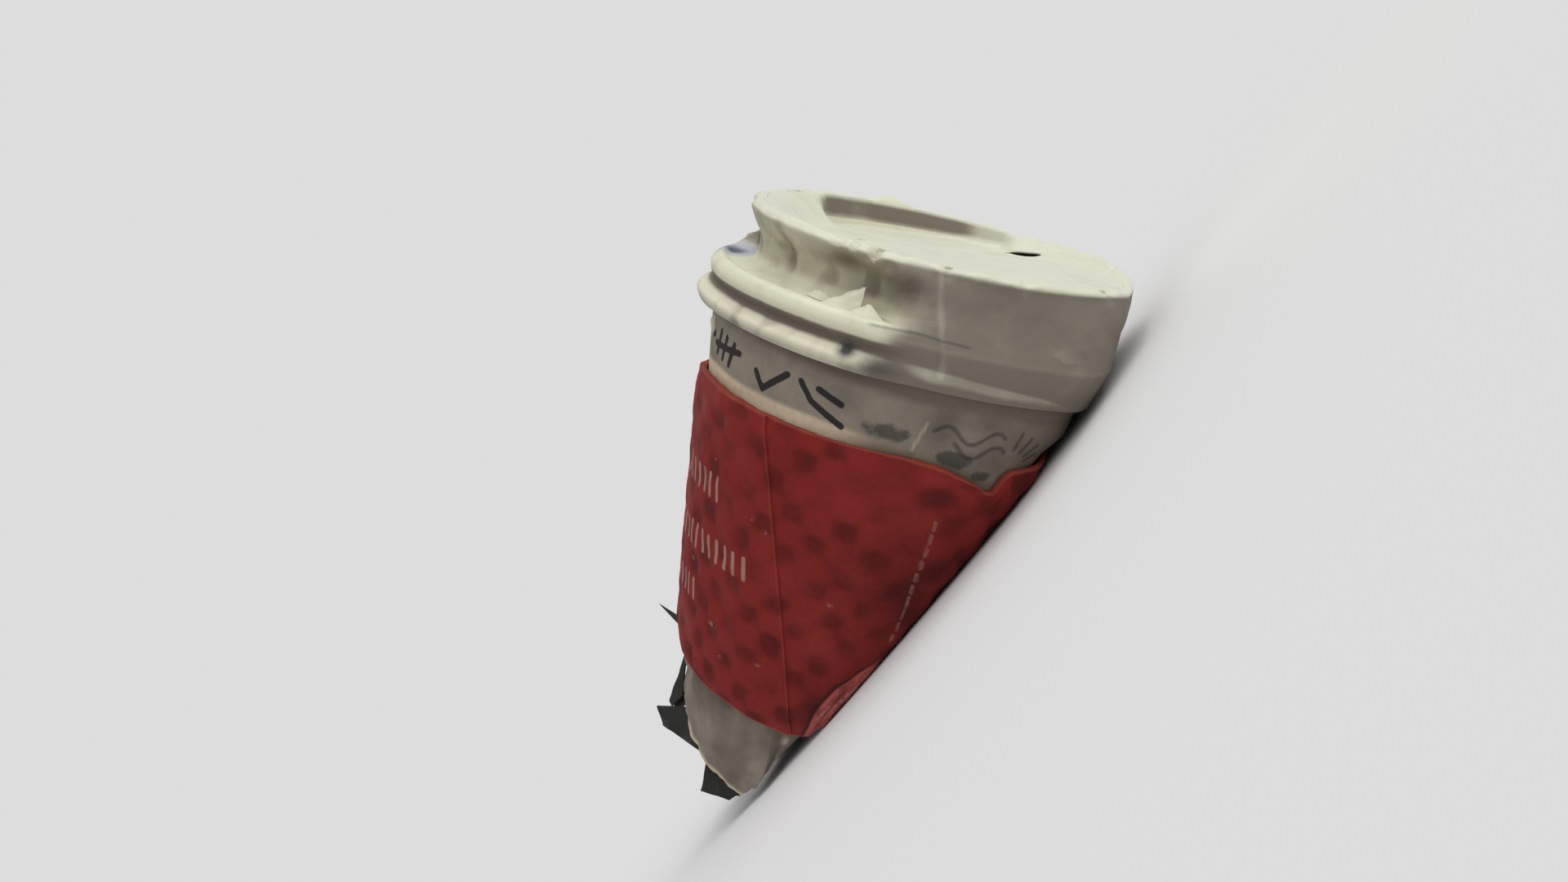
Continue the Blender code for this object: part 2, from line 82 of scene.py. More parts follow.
TEAR_SHARES = [0.0, 0.12, 0.42, 0.95, 1.0, 0.25, 0.0]
SLIP_ANGLE = 176.0
SLIP_DEPTH = 4.5
MM = 0.001

COLUMNS = 480
ANGLES = np.arange(COLUMNS) * 360.0 / COLUMNS - 180.0


def ramp(value, start, end):
    """0 before start, 1 past end and smooth between them."""
    share = np.clip((value - start) / (end - start), 0.0, 1.0)
    return share * share * (3.0 - 2.0 * share)


def fade(value, start, end):
    """1 before start and 0 past end."""
    return 1.0 - ramp(value, start, end)


def turn_between(angle, centre):
    return (angle - centre + 180.0) % 360.0 - 180.0


def hump(angle, centre, half_width):
    """A smooth bump of height 1 on the circle, in degrees."""
    return fade(np.abs(turn_between(angle, centre)), 0.0, half_width)


def spot(angle, height, centre, radius):
    """A smooth bump of height 1 on the unrolled wall; centre is (angle, height), radius in mm."""
    across = np.radians(turn_between(angle, centre[0])) * CUP_MOUTH_RADIUS
    return fade(np.hypot(across / radius[0], (height - centre[1]) / radius[1]), 0.0, 1.0)


def patches(angle, height, table):
    """The sum of soft spots, each given as its strength, centre and radius."""
    return sum(strength * spot(angle, height, centre, radius) for strength, centre, radius in table)


def line_gap(angle, height, line, radius=CUP_MOUTH_RADIUS):
    """Distance in mm on the unrolled wall from each point to a line of (angle, height) spots."""
    middle = line[0][0]
    across = np.radians(turn_between(angle, middle)) * radius
    nearest = np.full(np.broadcast(across, height).shape, 1000.0)
    for (from_angle, from_height), (to_angle, to_height) in zip(line, line[1:]):
        start = radians(from_angle - middle) * radius
        run = radians(to_angle - from_angle) * radius
        rise = to_height - from_height
        share = ((across - start) * run + (height - from_height) * rise) / (run * run + rise * rise)
        share = np.clip(share, 0.0, 1.0)
        gap = np.hypot(across - start - run * share, height - from_height - rise * share)
        nearest = np.minimum(nearest, gap)
    return nearest


def streak(angle, height, line, core, reach, radius=CUP_MOUTH_RADIUS):
    """1 within core mm of a line of (angle, height) spots, and 0 beyond reach mm."""
    return fade(line_gap(angle, height, line, radius), core, reach)


def stroke_gap(angle, height, strokes, width, radius=CUP_MOUTH_RADIUS):
    """Distance in mm to the edge of the nearest of some strokes, below 0 inside it."""
    gaps = [line_gap(angle, height, line, radius) for line in strokes]
    return np.minimum.reduce(gaps) - 0.5 * width


def lumps(points, size, seed, octaves=2):
    """Smooth noise from about -1 to 1, with lumps of size mm, at points in the cup's frame."""
    shift = Vector((17.3 * seed, 5.1 * seed, 9.7 * seed))
    flat = (points / size).reshape(-1, 3)
    found = [noise.fractal(Vector(point) + shift, 1.0, 2.0, octaves) for point in flat]
    return np.array(found).reshape(points.shape[:-1])


def pressed(radius, angle, height, flat):
    """Ring points in the cup's frame whose +X side is pushed in to the flat."""
    radius, angle, height, flat = np.broadcast_arrays(radius, angle, height, flat)
    turn = np.radians(angle)
    across = radius * np.cos(turn)
    share = np.clip(0.5 + 0.5 * (flat - across) / CREASE_SOFTNESS, 0.0, 1.0)
    across = flat * (1.0 - share) + across * share - CREASE_SOFTNESS * share * (1.0 - share)
    return np.stack([across, radius * np.sin(turn), height], axis=-1)


LIFT_HEIGHTS = [0.0, SLEEVE_BOTTOM - 5.0, SLEEVE_TOP + 0.2 * BAND_HEIGHT, SLEEVE_TOP + 0.5 * BAND_HEIGHT,
                SKIRT_EDGE, CUP_HEIGHT, CUP_HEIGHT + 6.0]
LIFTS = [0.3, 0.0, 0.0, -1.5, 0.3, 1.6, 1.6 + 6.0 * tan(radians(FLAT_ANGLE))]


def wall_flat(height):
    floor = FLAT_AT_BASE + height * tan(radians(FLAT_ANGLE))
    return floor - SLEEVE_STANDOFF - np.interp(height, LIFT_HEIGHTS, LIFTS)


def wall_radius(angle, height):
    share = np.minimum(height, SKIRT_EDGE) / SKIRT_EDGE
    folds = np.cos(np.radians(9.0 * angle)) * 0.6 + np.cos(np.radians(5.0 * angle + 40.0)) * 0.4
    crumple = CRUMPLE_DEPTH * fade(height, 0.0, CRUMPLE_HEIGHT) * (1.0 + folds) * 0.5
    return CUP_BASE_RADIUS + (CUP_MOUTH_RADIUS - CUP_BASE_RADIUS) * share - crumple


def wall_point(angle, height, offset):
    return pressed(wall_radius(angle, height) + offset, angle, height, wall_flat(height) + offset)


def torn_edge(angle):
    return TORN_EDGE + TORN_EDGE_RISE * hump(angle, -175.0, 75.0) + 0.25 * np.sin(np.radians(7.0 * angle))


def mouth_shift(angle):
    return -MOUTH_SLOPE * CUP_MOUTH_RADIUS * np.sin(np.radians(angle))


def sleeve_edges(angle):
    """Heights of the sleeve's lower and upper edge at an angle."""
    place = wall_point(angle, SLEEVE_BOTTOM, SLEEVE_STANDOFF)
    low = SLEEVE_BOTTOM + BOTTOM_EDGE_SLOPE[0] * place[..., 0] + BOTTOM_EDGE_SLOPE[1] * place[..., 1]
    place = wall_point(angle, SLEEVE_TOP, SLEEVE_STANDOFF)
    high = SLEEVE_TOP + TOP_EDGE_SLOPE[0] * place[..., 0] + TOP_EDGE_SLOPE[1] * place[..., 1]
    tear = np.interp(turn_between(angle, NOTCH_ANGLE), TEAR_TURNS, TEAR_SHARES)
    high = high - NOTCH_DEPTH * tear - SLIP_DEPTH * hump(angle, SLIP_ANGLE, 45.0)
    return low, high


# Laying the cup down on its crushed flat, as the CAD has it
LAID = np.array(Euler((0.0, radians(90.0 - FLAT_ANGLE), 0.0)).to_matrix())
REST_HEIGHT = 0.5 * (SLEEVE_BOTTOM + SLEEVE_TOP)
REST_POINT = np.array([FLAT_AT_BASE + REST_HEIGHT * tan(radians(FLAT_ANGLE)), 0.0, REST_HEIGHT])


def laid_down(points):
    """Points of the upright cup in mm, as points of the lying cup in metres."""
    return (points.reshape(-1, 3) - REST_POINT) @ LAID.T * MM


def placed(name, data):
    """A new object in the scene that holds a mesh, a light or a camera."""
    piece = bpy.data.objects.new(name, data)
    bpy.context.scene.collection.objects.link(piece)
    return piece


def body_of_faces(name, points, faces, marks, finish, sharp=38.0):
    mesh = bpy.data.meshes.new(name)
    mesh.from_pydata(laid_down(points).tolist(), [], faces)
    for mark, values in marks.items():
        stored = mesh.attributes.new(mark, 'FLOAT', 'POINT')
        stored.data.foreach_set("value", np.asarray(values, dtype=np.float32).ravel())
    mesh.shade_smooth()
    mesh.set_sharp_from_angle(angle=radians(sharp))
    mesh.materials.append(finish)
    return placed(name, mesh)


def ring_body(name, rings, marks, finish, poles=None, inward=False, sharp=38.0):
    """A closed body skinned over rings of points, shaped (rings, columns, 3).

    Without poles the last ring joins the first, as in a thick tube. With two poles the first
    and last rings close on a point each, as in a thick dish.
    """
    rows, columns = rings.shape[:2]
    index = np.arange(rows * columns).reshape(rows, columns)
    after = np.roll(index, -1, axis=1)
    quads = np.stack([index, after, np.roll(after, -1, axis=0), np.roll(index, -1, axis=0)], axis=-1)
    if poles is not None:
        quads = quads[:-1]
    faces = quads.reshape(-1, 4).tolist()
    points = rings.reshape(-1, 3)
    marks = {mark: np.broadcast_to(values, (rows, columns)).ravel() for mark, values in marks.items()}
    if poles is not None:
        first, last = rows * columns, rows * columns + 1
        points = np.concatenate([points, np.asarray(poles)])
        faces += [[first, after[0, column], index[0, column]] for column in range(columns)]
        faces += [[last, index[-1, column], after[-1, column]] for column in range(columns)]
        marks = {mark: np.append(values, [values[0], values[-1]]) for mark, values in marks.items()}
    if inward:
        faces = [face[::-1] for face in faces]
    return body_of_faces(name, points, faces, marks, finish, sharp)


def sheet_body(name, grid, thickness, marks, finish):
    """A closed thin sheet around a grid of points, shaped (rows, columns, 3)."""
    along_rows = np.gradient(grid, axis=0)
    along_columns = np.gradient(grid, axis=1)
    across = np.cross(along_rows, along_columns)
    across /= np.maximum(np.linalg.norm(across, axis=-1, keepdims=True), 1e-9)
    rows, columns = grid.shape[:2]
    front = np.arange(rows * columns).reshape(rows, columns)
    behind = rows * columns
    corners = [front[:-1, :-1], front[1:, :-1], front[1:, 1:], front[:-1, 1:]]
    squares = np.stack(corners, axis=-1).reshape(-1, 4)
    border = np.array([*front[0, :-1], *front[:-1, -1], *front[-1, :0:-1], *front[:0:-1, 0]])
    onward = np.roll(border, -1)
    sides = np.stack([border, onward, onward + behind, border + behind], axis=-1)
    faces = np.concatenate([squares, squares[:, ::-1] + behind, sides]).tolist()
    half = 0.5 * np.broadcast_to(np.asarray(thickness), grid.shape[:2])[..., None]
    points = np.concatenate([(grid + across * half).reshape(-1, 3), (grid - across * half).reshape(-1, 3)])
    marks = {mark: np.tile(np.broadcast_to(values, (rows, columns)).ravel(), 2)
             for mark, values in marks.items()}
    return body_of_faces(name, points, faces, marks, finish)


def add(tree, kind, inputs=None, **settings):
    """A node with its settings and inputs; an input is a value or another node's socket."""
    node = tree.nodes.new(kind)
    for setting, value in settings.items():
        setattr(node, setting, value)
    for socket, value in (inputs or {}).items():
        if isinstance(value, bpy.types.NodeSocket):
            tree.links.new(value, node.inputs[socket])
        else:
            node.inputs[socket].default_value = value
    return node


def reading(tree, mark):
    return add(tree, "ShaderNodeAttribute", attribute_name=mark).outputs["Fac"]


def grain(tree, size, detail=3.0, roughness=0.5, stretch=(1.0, 1.0, 1.0)):
    """Noise from 0 to 1 with lumps of size mm, on the piece's own coordinates."""
    place = add(tree, "ShaderNodeTexCoord").outputs["Object"]
    place = add(tree, "ShaderNodeMapping", {"Vector": place, "Scale": stretch}).outputs["Vector"]
    inputs = {"Vector": place, "Scale": 1.0 / (size * MM), "Detail": detail, "Roughness": roughness}
    return add(tree, "ShaderNodeTexNoise", inputs).outputs["Fac"]


def maths(tree, operation, first, second=0.0):
    return add(tree, "ShaderNodeMath", {0: first, 1: second}, operation=operation).outputs[0]


def unsettled(tree, mark, noisy, swing):
    """A mark with noise around 0 added, so that its edge turns ragged."""
    shift = maths(tree, 'MULTIPLY', maths(tree, 'SUBTRACT', noisy, 0.5), swing)
    return maths(tree, 'ADD', reading(tree, mark), shift)


def eased(tree, value, low, high, start=0.0, end=1.0):
    inputs = {"Value": value, "From Min": low, "From Max": high, "To Min": start, "To Max": end}
    return add(tree, "ShaderNodeMapRange", inputs, interpolation_type='SMOOTHSTEP').outputs["Result"]


def mixed(tree, share, first, second):
    """Mix two colours given as 3 numbers or sockets."""
    first, second = [colour if isinstance(colour, bpy.types.NodeSocket) else (*colour, 1.0)
                     for colour in (first, second)]
    return add(tree, "ShaderNodeMix", {0: share, 6: first, 7: second}, data_type='RGBA').outputs[2]


def layered(tree, colour, layers):
    """A colour with others laid over it in turn.

    A layer is its share, the limits that ease the share if it needs any, and its colour. The
    share is a socket or the name of a mark.
    """
    for share, *limits, over in layers:
        if isinstance(share, str):
            share = reading(tree, share)
        if limits:
            share = eased(tree, share, *limits)
        colour = mixed(tree, share, colour, over)
    return colour


def new_finish(name, roughness, specular):
    made = bpy.data.materials.new(name)
    made.use_nodes = True
    shader = made.node_tree.nodes["Principled BSDF"]
    shader.inputs["Roughness"].default_value = roughness
    shader.inputs["Specular IOR Level"].default_value = specular
    return made, made.node_tree, shader


def paint(tree, shader, colour, roughness, height, depth):
    """Join a colour, a roughness and a bump of depth mm to the shader."""
    tree.links.new(colour, shader.inputs["Base Color"])
    tree.links.new(roughness, shader.inputs["Roughness"])
    bump = add(tree, "ShaderNodeBump", {"Strength": 1.0, "Distance": depth * MM, "Height": height})
    tree.links.new(bump.outputs["Normal"], shader.inputs["Normal"])


PAPER = (0.31, 0.268, 0.212)
PAPER_PALE = (0.74, 0.63, 0.46)
PAPER_STAIN_AND_SHADE = (0.145, 0.118, 0.09)
PAPER_DARK = (0.05, 0.05, 0.042)
MARKER_INK = (0.012, 0.013, 0.014)
SKETCH_GREY = (0.035, 0.034, 0.032)

stained_paper, tree, shader = new_finish("stained_paper", 0.8, 0.3)
cloudy = grain(tree, 16.0, 4.0, 0.6)
fine = grain(tree, 1.4, 4.0, 0.6)
colour = mixed(tree, eased(tree, cloudy, 0.35, 0.7), PAPER, PAPER_STAIN_AND_SHADE)
colour = mixed(tree, maths(tree, 'MULTIPLY', eased(tree, cloudy, 0.3, 0.6), 0.55), PAPER, colour)
# This mark holds real stains and painted shade: a shadow under the lid's skirt, shading streaks on the
# crumpled base and a shade line along its fold
stain_and_shade = unsettled(tree, "stain_and_shade", cloudy, 0.7)
dark = unsettled(tree, "dark", grain(tree, 3.6, 4.0, 0.65), 2.2)
ink_gap = unsettled(tree, "ink_gap", grain(tree, 0.9), 0.25)
sketch_gap = unsettled(tree, "sketch_gap", grain(tree, 0.9), 0.25)
colour = layered(tree, colour, [
    (stain_and_shade, 0.1, 0.9, 0.0, 0.9, PAPER_STAIN_AND_SHADE),
    (dark, 0.35, 0.95, 0.0, 0.8, PAPER_DARK),
    ("cloud", PAPER_DARK),
    # The pale mark holds a painted highlight above the sleeve's edge as well as pale torn edges and spots
    ("pale", 0.0, 1.0, 0.0, 0.95, PAPER_PALE),
    (fine, 0.3, 0.8, 0.0, 0.16, PAPER_STAIN_AND_SHADE),
    (ink_gap, 0.1, -0.12, 0.0, 0.95, MARKER_INK),
    (sketch_gap, 0.35, -0.3, 0.0, 0.7, SKETCH_GREY),
])
fibres = grain(tree, 0.5, 3.0, 0.6, (1.0, 1.0, 0.35))
rough = eased(tree, cloudy, 0.2, 0.8, 0.72, 0.9)
paint(tree, shader, colour, rough, maths(tree, 'ADD', fine, maths(tree, 'MULTIPLY', fibres, 0.5)), 0.06)

# Order marks in marker ink on the bare band: plain ticks, dashes and a wave
INK_WIDTH = 1.35
INK_LINES = [
    [(-147.6, 100.2), (-147.2, 100.6)],
    [(-143.6, 97.4), (-141.6, 102.2)],
    [(-139.0, 97.2), (-137.0, 101.9)],
    [(-134.4, 97.0), (-132.4, 101.6)],
    [(-145.4, 99.0), (-138.0, 99.6), (-129.4, 100.6)],
    [(-121.6, 99.4), (-118.8, 96.6), (-110.8, 101.6)],
    [(-106.6, 101.4), (-103.0, 98.4), (-94.0, 95.8)],
    [(-101.4, 101.2), (-95.0, 99.8)],
]
# Two drawn ripples and a fan of short strokes in soft grey near the crushed edge
SKETCH_WIDTH = 0.7
RIPPLE = [(-72.0 + 1.5 * step, 99.6 + 1.5 * sin(0.75 * step)) for step in range(13)]
SKETCH_LINES = [
    RIPPLE,
    [(angle + 1.0, height - 2.7) for angle, height in RIPPLE[3:]],
    [(-50.5, 98.2), (-49.5, 101.4)],
    [(-48.3, 97.6), (-46.2, 100.6)],
    [(-46.4, 96.8), (-43.4, 99.2)],
    [(-45.4, 95.8), (-41.8, 97.2)],
]

# The gap in mm where no stroke is near
NO_LINE = 9.0

# Soft patches on the wall, each as strength, (angle, height) and radii in mm
DARK_PATCHES = [
    (1.1, (-82.5, 97.2), (8.5, 3.0)),
    (1.3, (-65.5, 94.6), (6.5, 3.0)),
    (1.0, (-57.0, 92.2), (4.0, 2.0)),
]
CLOUD_PATCHES = [
    (0.55, (-70.5, 101.0), (4.5, 5.5)),
    (0.30, (-61.0, 102.5), (9.0, 2.4)),
    (0.30, (-60.0, 94.0), (11.0, 5.5)),
    (0.25, (-94.0, 101.0), (7.0, 4.0)),
]
# Folds and tears, each as a line of (angle, height) spots
BASE_FOLD = [(-95.5, 27.0), (-94.0, 20.0), (-93.0, 9.0)]
BASE_FOLD_SHADE = [(-93.0, 29.0), (-91.5, 20.0), (-90.5, 8.0)]
BASE_VALLEY = [(-122.0, 26.0), (-127.0, 12.0)]
BAND_CREASE = [(-76.0, 95.0), (-74.0, 101.5)]
BAND_TEAR = [(-76.0, 95.0), (-74.0, 101.0)]


def wall_relief(angle, height):
    """Outward shift of the wall in mm where neither sleeve nor lid covers it."""
    low, high = sleeve_edges(angle)
    lid_edge = SKIRT_EDGE + mouth_shift(angle)
    base = fade(height, low - 1.5, low + 1.5)
    band = ramp(height, high - 1.0, high + 2.0) * fade(height, lid_edge - 2.5, lid_edge - 0.5)
    points = wall_point(angle, height, 0.0)
    facets = np.abs(lumps(points, 9.0, 3)) - 0.35
    relief = base * (1.7 * facets + 0.3 * lumps(points, 3.0, 4))
    relief += band * (0.35 * lumps(points, 13.0, 5) + 0.10 * (np.abs(lumps(points, 5.0, 6)) - 0.3))
    relief += base * 1.5 * streak(angle, height, BASE_FOLD, 0.0, 2.2, CUP_BASE_RADIUS)
    relief -= base * 0.6 * streak(angle, height, BASE_VALLEY, 0.0, 3.0, CUP_BASE_RADIUS)
    relief += band * 0.35 * streak(angle, height, BAND_CREASE, 0.0, 1.0)
    rumpled = band * spot(angle, height, (-151.0, 101.0), (5.0, 5.0))
    relief += rumpled * (1.3 * np.abs(lumps(points, 2.4, 7)) - 0.1)
    return relief


def wall_marks(angle, height):
    low, high = sleeve_edges(angle)
    lid_edge = SKIRT_EDGE + mouth_shift(angle)
    on_band = ramp(height, 80.0, 86.0)
    cloud = patches(angle, height, CLOUD_PATCHES)
    # The band turns darker towards the crushed side
    stain_and_shade = 0.45 * on_band * ramp(turn_between(angle, -100.0), -15.0, 25.0)
    stain_and_shade += 0.30 * on_band * spot(angle, height, (-122.0, 98.0), (16.0, 3.5))
    # Painted shadow under the lid's skirt
    stain_and_shade += 0.75 * on_band * ramp(height - lid_edge, -4.2, -0.3)
    at_base = fade(height, 28.0, 34.0)
    # The base end darker all over and more so just below the sleeve, with soft upright streaks of painted
    # shade for the shading of its crumples
    stain_and_shade += 0.50 * at_base
    streaks = wall_point(angle, height, 0.0) * (1.0, 1.0, 0.3)
    stain_and_shade += at_base * (0.5 * lumps(streaks, 7.0, 9) + 0.25 * ramp(height, 22.0, 29.0) + 0.1)
    # Painted shade along the base's fold
    stain_and_shade += 0.7 * at_base * streak(angle, height, BASE_FOLD_SHADE, 0.2, 1.8, CUP_BASE_RADIUS)
    cloud += 0.22 * at_base * ramp(turn_between(angle, -80.0), -6.0, 14.0)
    # Painted highlight: a pale strip on the band just above the sleeve's top edge at the left, where light
    # catches it
    left_part = fade(turn_between(angle, -100.0), -5.0, 25.0)
    pale = np.where(height > 60.0, 1.1 * fade(height - high, 1.6, 3.6) * left_part, 0.0)
    pale = pale + 0.42 * streak(angle, height, BAND_TEAR, 0.1, 0.6)
    under_lid = fade(height - lid_edge, -1.2, -0.2)
    pale = pale + 1.2 * spot(angle, height, (-151.5, 101.5), (3.6, 3.6)) * under_lid
    pale = pale + 0.55 * spot(angle, height, (-88.5, 23.0), (3.2, 2.6))
    pale = pale + 0.6 * fade(height - torn_edge(angle), 0.5, 1.4)
    return {
        "stain_and_shade": stain_and_shade,
        "dark": patches(angle, height, DARK_PATCHES),
        "cloud": cloud,
        "pale": pale,
        "ink_gap": stroke_gap(angle, height, INK_LINES, INK_WIDTH),
        "sketch_gap": stroke_gap(angle, height, SKETCH_LINES, SKETCH_WIDTH),
    }


lower_edge = torn_edge(ANGLES) + 0.25 * lumps(wall_point(ANGLES, 5.0, 0.0), 2.5, 8, 3)
covered_start, covered_end = 34.0, 87.5
band_top = SKIRT_EDGE + 1.6 + mouth_shift(ANGLES)
outer_heights = np.concatenate([
    np.linspace(lower_edge, covered_start, 62),
    np.linspace(np.full(COLUMNS, covered_start), covered_end, 12)[1:-1],
    np.linspace(covered_end, band_top, 58),
])
outer = wall_point(ANGLES, outer_heights, wall_relief(ANGLES, outer_heights))

# The curled rim: a ring under the curl, rings round it and one on the wall's inside
CURL_TURNS = (-70.0, -20.0, 30.0, 80.0, 140.0)
rims = [wall_point(ANGLES, CURL_CENTRE - CURL_RADIUS - 0.4 + mouth_shift(ANGLES), 0.0)]
for curl_turn in CURL_TURNS:
    height = CURL_CENTRE + CURL_RADIUS * sin(radians(curl_turn)) + mouth_shift(ANGLES)
    rims.append(wall_point(ANGLES, height, CURL_OFFSET + CURL_RADIUS * cos(radians(curl_turn))))
rims.append(wall_point(ANGLES, CURL_CENTRE - 2.0 + mouth_shift(ANGLES), -WALL_THICKNESS))
inner_heights = outer_heights[::-4]
inner = wall_point(ANGLES, inner_heights, wall_relief(ANGLES, inner_heights) - WALL_THICKNESS)
unmarked = (len(rims) + len(inner), COLUMNS)
marks = {mark: np.concatenate([values, np.full(unmarked, NO_LINE if "gap" in mark else 0.0)])
         for mark, values in wall_marks(ANGLES, outer_heights).items()}
cup_wall = ring_body("paper_wall", np.concatenate([outer, rims, inner]), marks, stained_paper)

# A dark sliver of the wall, torn free at its base end and standing up beside the tear; its near
# black is dirt and painted shadow
SLIVER_ANGLE = 171.5
SLIVER_LENGTH = 12.5
SLIVER_HEIGHT = 15.2
steps = np.linspace(0.0, 1.0, 14)[:, None]
spread = np.linspace(-1.0, 1.0, 5)[None, :]
reach = (SLIVER_LENGTH + 0.05) * steps - 0.3
sliver_angle = SLIVER_ANGLE + 4.5 * steps + 1.0 * spread * (1.0 - steps) ** 0.8
sliver_height = SLIVER_HEIGHT + 0.5 * SLIVER_LENGTH * steps ** 1.3 + 3.2 * spread * (1.0 - steps)
dirty_and_shaded = {"stain_and_shade": 1.0, "dark": 1.5, "cloud": 0.9, "pale": 0.0, "ink_gap": NO_LINE, "sketch_gap": NO_LINE}
sliver_points = wall_point(sliver_angle, sliver_height, reach)
sliver = sheet_body("wall_sliver", sliver_points, 0.3 - 0.15 * steps, dirty_and_shaded, stained_paper)

for piece in (cup_wall, sliver):
    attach(piece, "root")
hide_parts("cup_sidewall")

# The cup's bottom
# A paperboard disc whose turned-down skirt was glued to the wall. It has burst off the glue,
# and what is left of the skirt and the wall's hem hangs out as torn tongues, painted near black
# for dirt and as painted shadow.

BOTTOM_RECESS = 3.6
BOTTOM_THICKNESS = 0.5
BOTTOM_BUCKLE = 2.2
SKIRT_DEPTH = 0.9
BOTTOM_HEIGHT = TORN_EDGE + TORN_EDGE_RISE + BOTTOM_RECESS
DISC_CENTRE = np.array([-12.0, 0.0])
# Near black and dark grey for dirt and painted shadow, with greyer worn spots
DIRT_AND_SHADE_BLACK = (0.012, 0.0135, 0.0135)
DIRT_AND_SHADE_GREY = (0.055, 0.055, 0.05)
DIRT_WORN = (0.14, 0.135, 0.12)

dirty_paper, tree, shader = new_finish("dirty_paper", 0.85, 0.08)
cloudy = grain(tree, 7.0, 5.0, 0.6)
fine = grain(tree, 0.8, 4.0, 0.65)
colour = layered(tree, DIRT_AND_SHADE_BLACK, [
    (cloudy, 0.45, 0.75, 0.0, 0.8, DIRT_AND_SHADE_GREY),
    ("wear_and_light", DIRT_WORN),
    (fine, 0.55, 0.8, 0.0, 0.35, DIRT_AND_SHADE_GREY),
])
paint(tree, shader, colour, eased(tree, cloudy, 0.3, 0.7, 0.75, 0.95), fine, 0.08)


def bottom_skin(depth):
    rings = []
    rim = wall_point(ANGLES, BOTTOM_HEIGHT, -SKIRT_DEPTH)[:, :2] - DISC_CENTRE
    for share in np.linspace(0.06, 0.94, 16):
        level = BOTTOM_HEIGHT - BOTTOM_BUCKLE * cos(0.5 * np.pi * share) - depth
        place = rim * share + DISC_CENTRE
        ring = np.column_stack([place, np.full(COLUMNS, level)])
        ring[:, 2] += 0.8 * lumps(ring * (1.0, 1.0, 0.0), 11.0, 11, 3) * (1.0 - share ** 4)
        rings.append(ring)
    edge = torn_edge(ANGLES)
    for inward, level in ((0.6 + 0.6 * depth, BOTTOM_HEIGHT - depth), (depth, BOTTOM_HEIGHT - 0.8)):
        rings.append(wall_point(ANGLES, np.full(COLUMNS, level), -SKIRT_DEPTH - inward))
    ragged = edge - 0.9 + 0.5 * lumps(wall_point(ANGLES, 5.0, 0.0), 2.0, 12, 3)
    for share in np.linspace(0.15, 1.0, 8):
        height = (BOTTOM_HEIGHT - 0.8) * (1.0 - share) + ragged * share
        rings.append(wall_point(ANGLES, height, -SKIRT_DEPTH - depth))
    return rings


upper, lower = bottom_skin(0.0), bottom_skin(BOTTOM_THICKNESS)
pole = np.array([*DISC_CENTRE, BOTTOM_HEIGHT - BOTTOM_BUCKLE])
burst_bottom = ring_body("burst_bottom", np.array(upper + lower[::-1]), {"wear_and_light": 0.1}, dirty_paper,
                         (pole, pole - (0.0, 0.0, BOTTOM_THICKNESS)), inward=True)

ROOT_REACH = -SKIRT_DEPTH - 0.25
ROOT_DROP = 0.2


def glued_root(*angles):
    """The corners of a tongue's root, just inside the skirt's torn edge."""
    return [(angle, ROOT_REACH, ROOT_DROP) for angle in angles]


# Each tongue: the corners of its root and then its free corners, all as
# angle, reach outside the wall and drop below the torn edge
TONGUES = [
    (glued_root(-154.0, -141.0, -128.0), [(-160.0, 6.8, 3.7), (-156.0, 5.2, 7.0)]),
    (glued_root(-98.0, -112.0, -126.0), [(-106.0, -0.8, 3.6), (-125.0, 0.0, 8.9)]),
    (glued_root(-158.0, -172.0, -178.0),
     [(-165.0, 2.6, 6.8), (-170.0, 3.3, 7.3), (-177.0, 2.2, 1.4), (-178.0, 1.2, 1.1)]),
    (glued_root(105.0, 120.0, 135.0), [(112.0, 2.6, 3.0), (128.0, 3.2, 4.5)]),
    ([(-162.0, 0.8, 0.6), (-170.0, 0.8, -5.0), (-178.0, 0.8, -11.5)],
     [(-167.0, 3.6, 6.4), (-171.0, 4.3, 6.5)]),
]


def along_corners(corners, shares):
    """Points at even shares of a line that runs straight from corner to corner."""
    corners = np.array(corners)
    places = np.linspace(0.0, 1.0, len(corners))
    return np.stack([np.interp(shares, places, corners[:, axis]) for axis in range(3)], axis=-1)


tongues = []
for number, ends in enumerate(TONGUES):
    root, tip = [[wall_point(angle, torn_edge(angle) - drop, reach) for angle, reach, drop in corners]
                 for corners in ends]
    shares = np.linspace(0.0, 1.0, 25)
    near, far = along_corners(root, shares), along_corners(tip, shares)
    blend = np.linspace(0.0, 1.0, 17)[:, None, None]
    grid = near[None] * (1.0 - blend) + far[None] * blend
    crease = 1.2 * np.abs(lumps(grid, 9.0, 20 + number, 1)) + 0.25 * lumps(grid, 3.0, 25 + number)
    grid[..., 0] += crease * blend[..., 0]
    grid[..., 2] += 0.5 * crease * blend[..., 0]
    tongues.append(sheet_body(f"torn_tongue_{number + 1}", grid, 0.4, {"wear_and_light": 0.15}, dirty_paper))

for piece in (burst_bottom, *tongues):
    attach(piece, "root")
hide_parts("cup_bottom")

# The sleeve
# A band of red embossed paperboard, lapped and glued along a slanting seam, slid up the cup.
# It is crushed with the cup, scuffed pale in small spots and torn at one place of its top edge.
# Its embossing carries painted shade in the hollows and a painted highlight on the high spots.

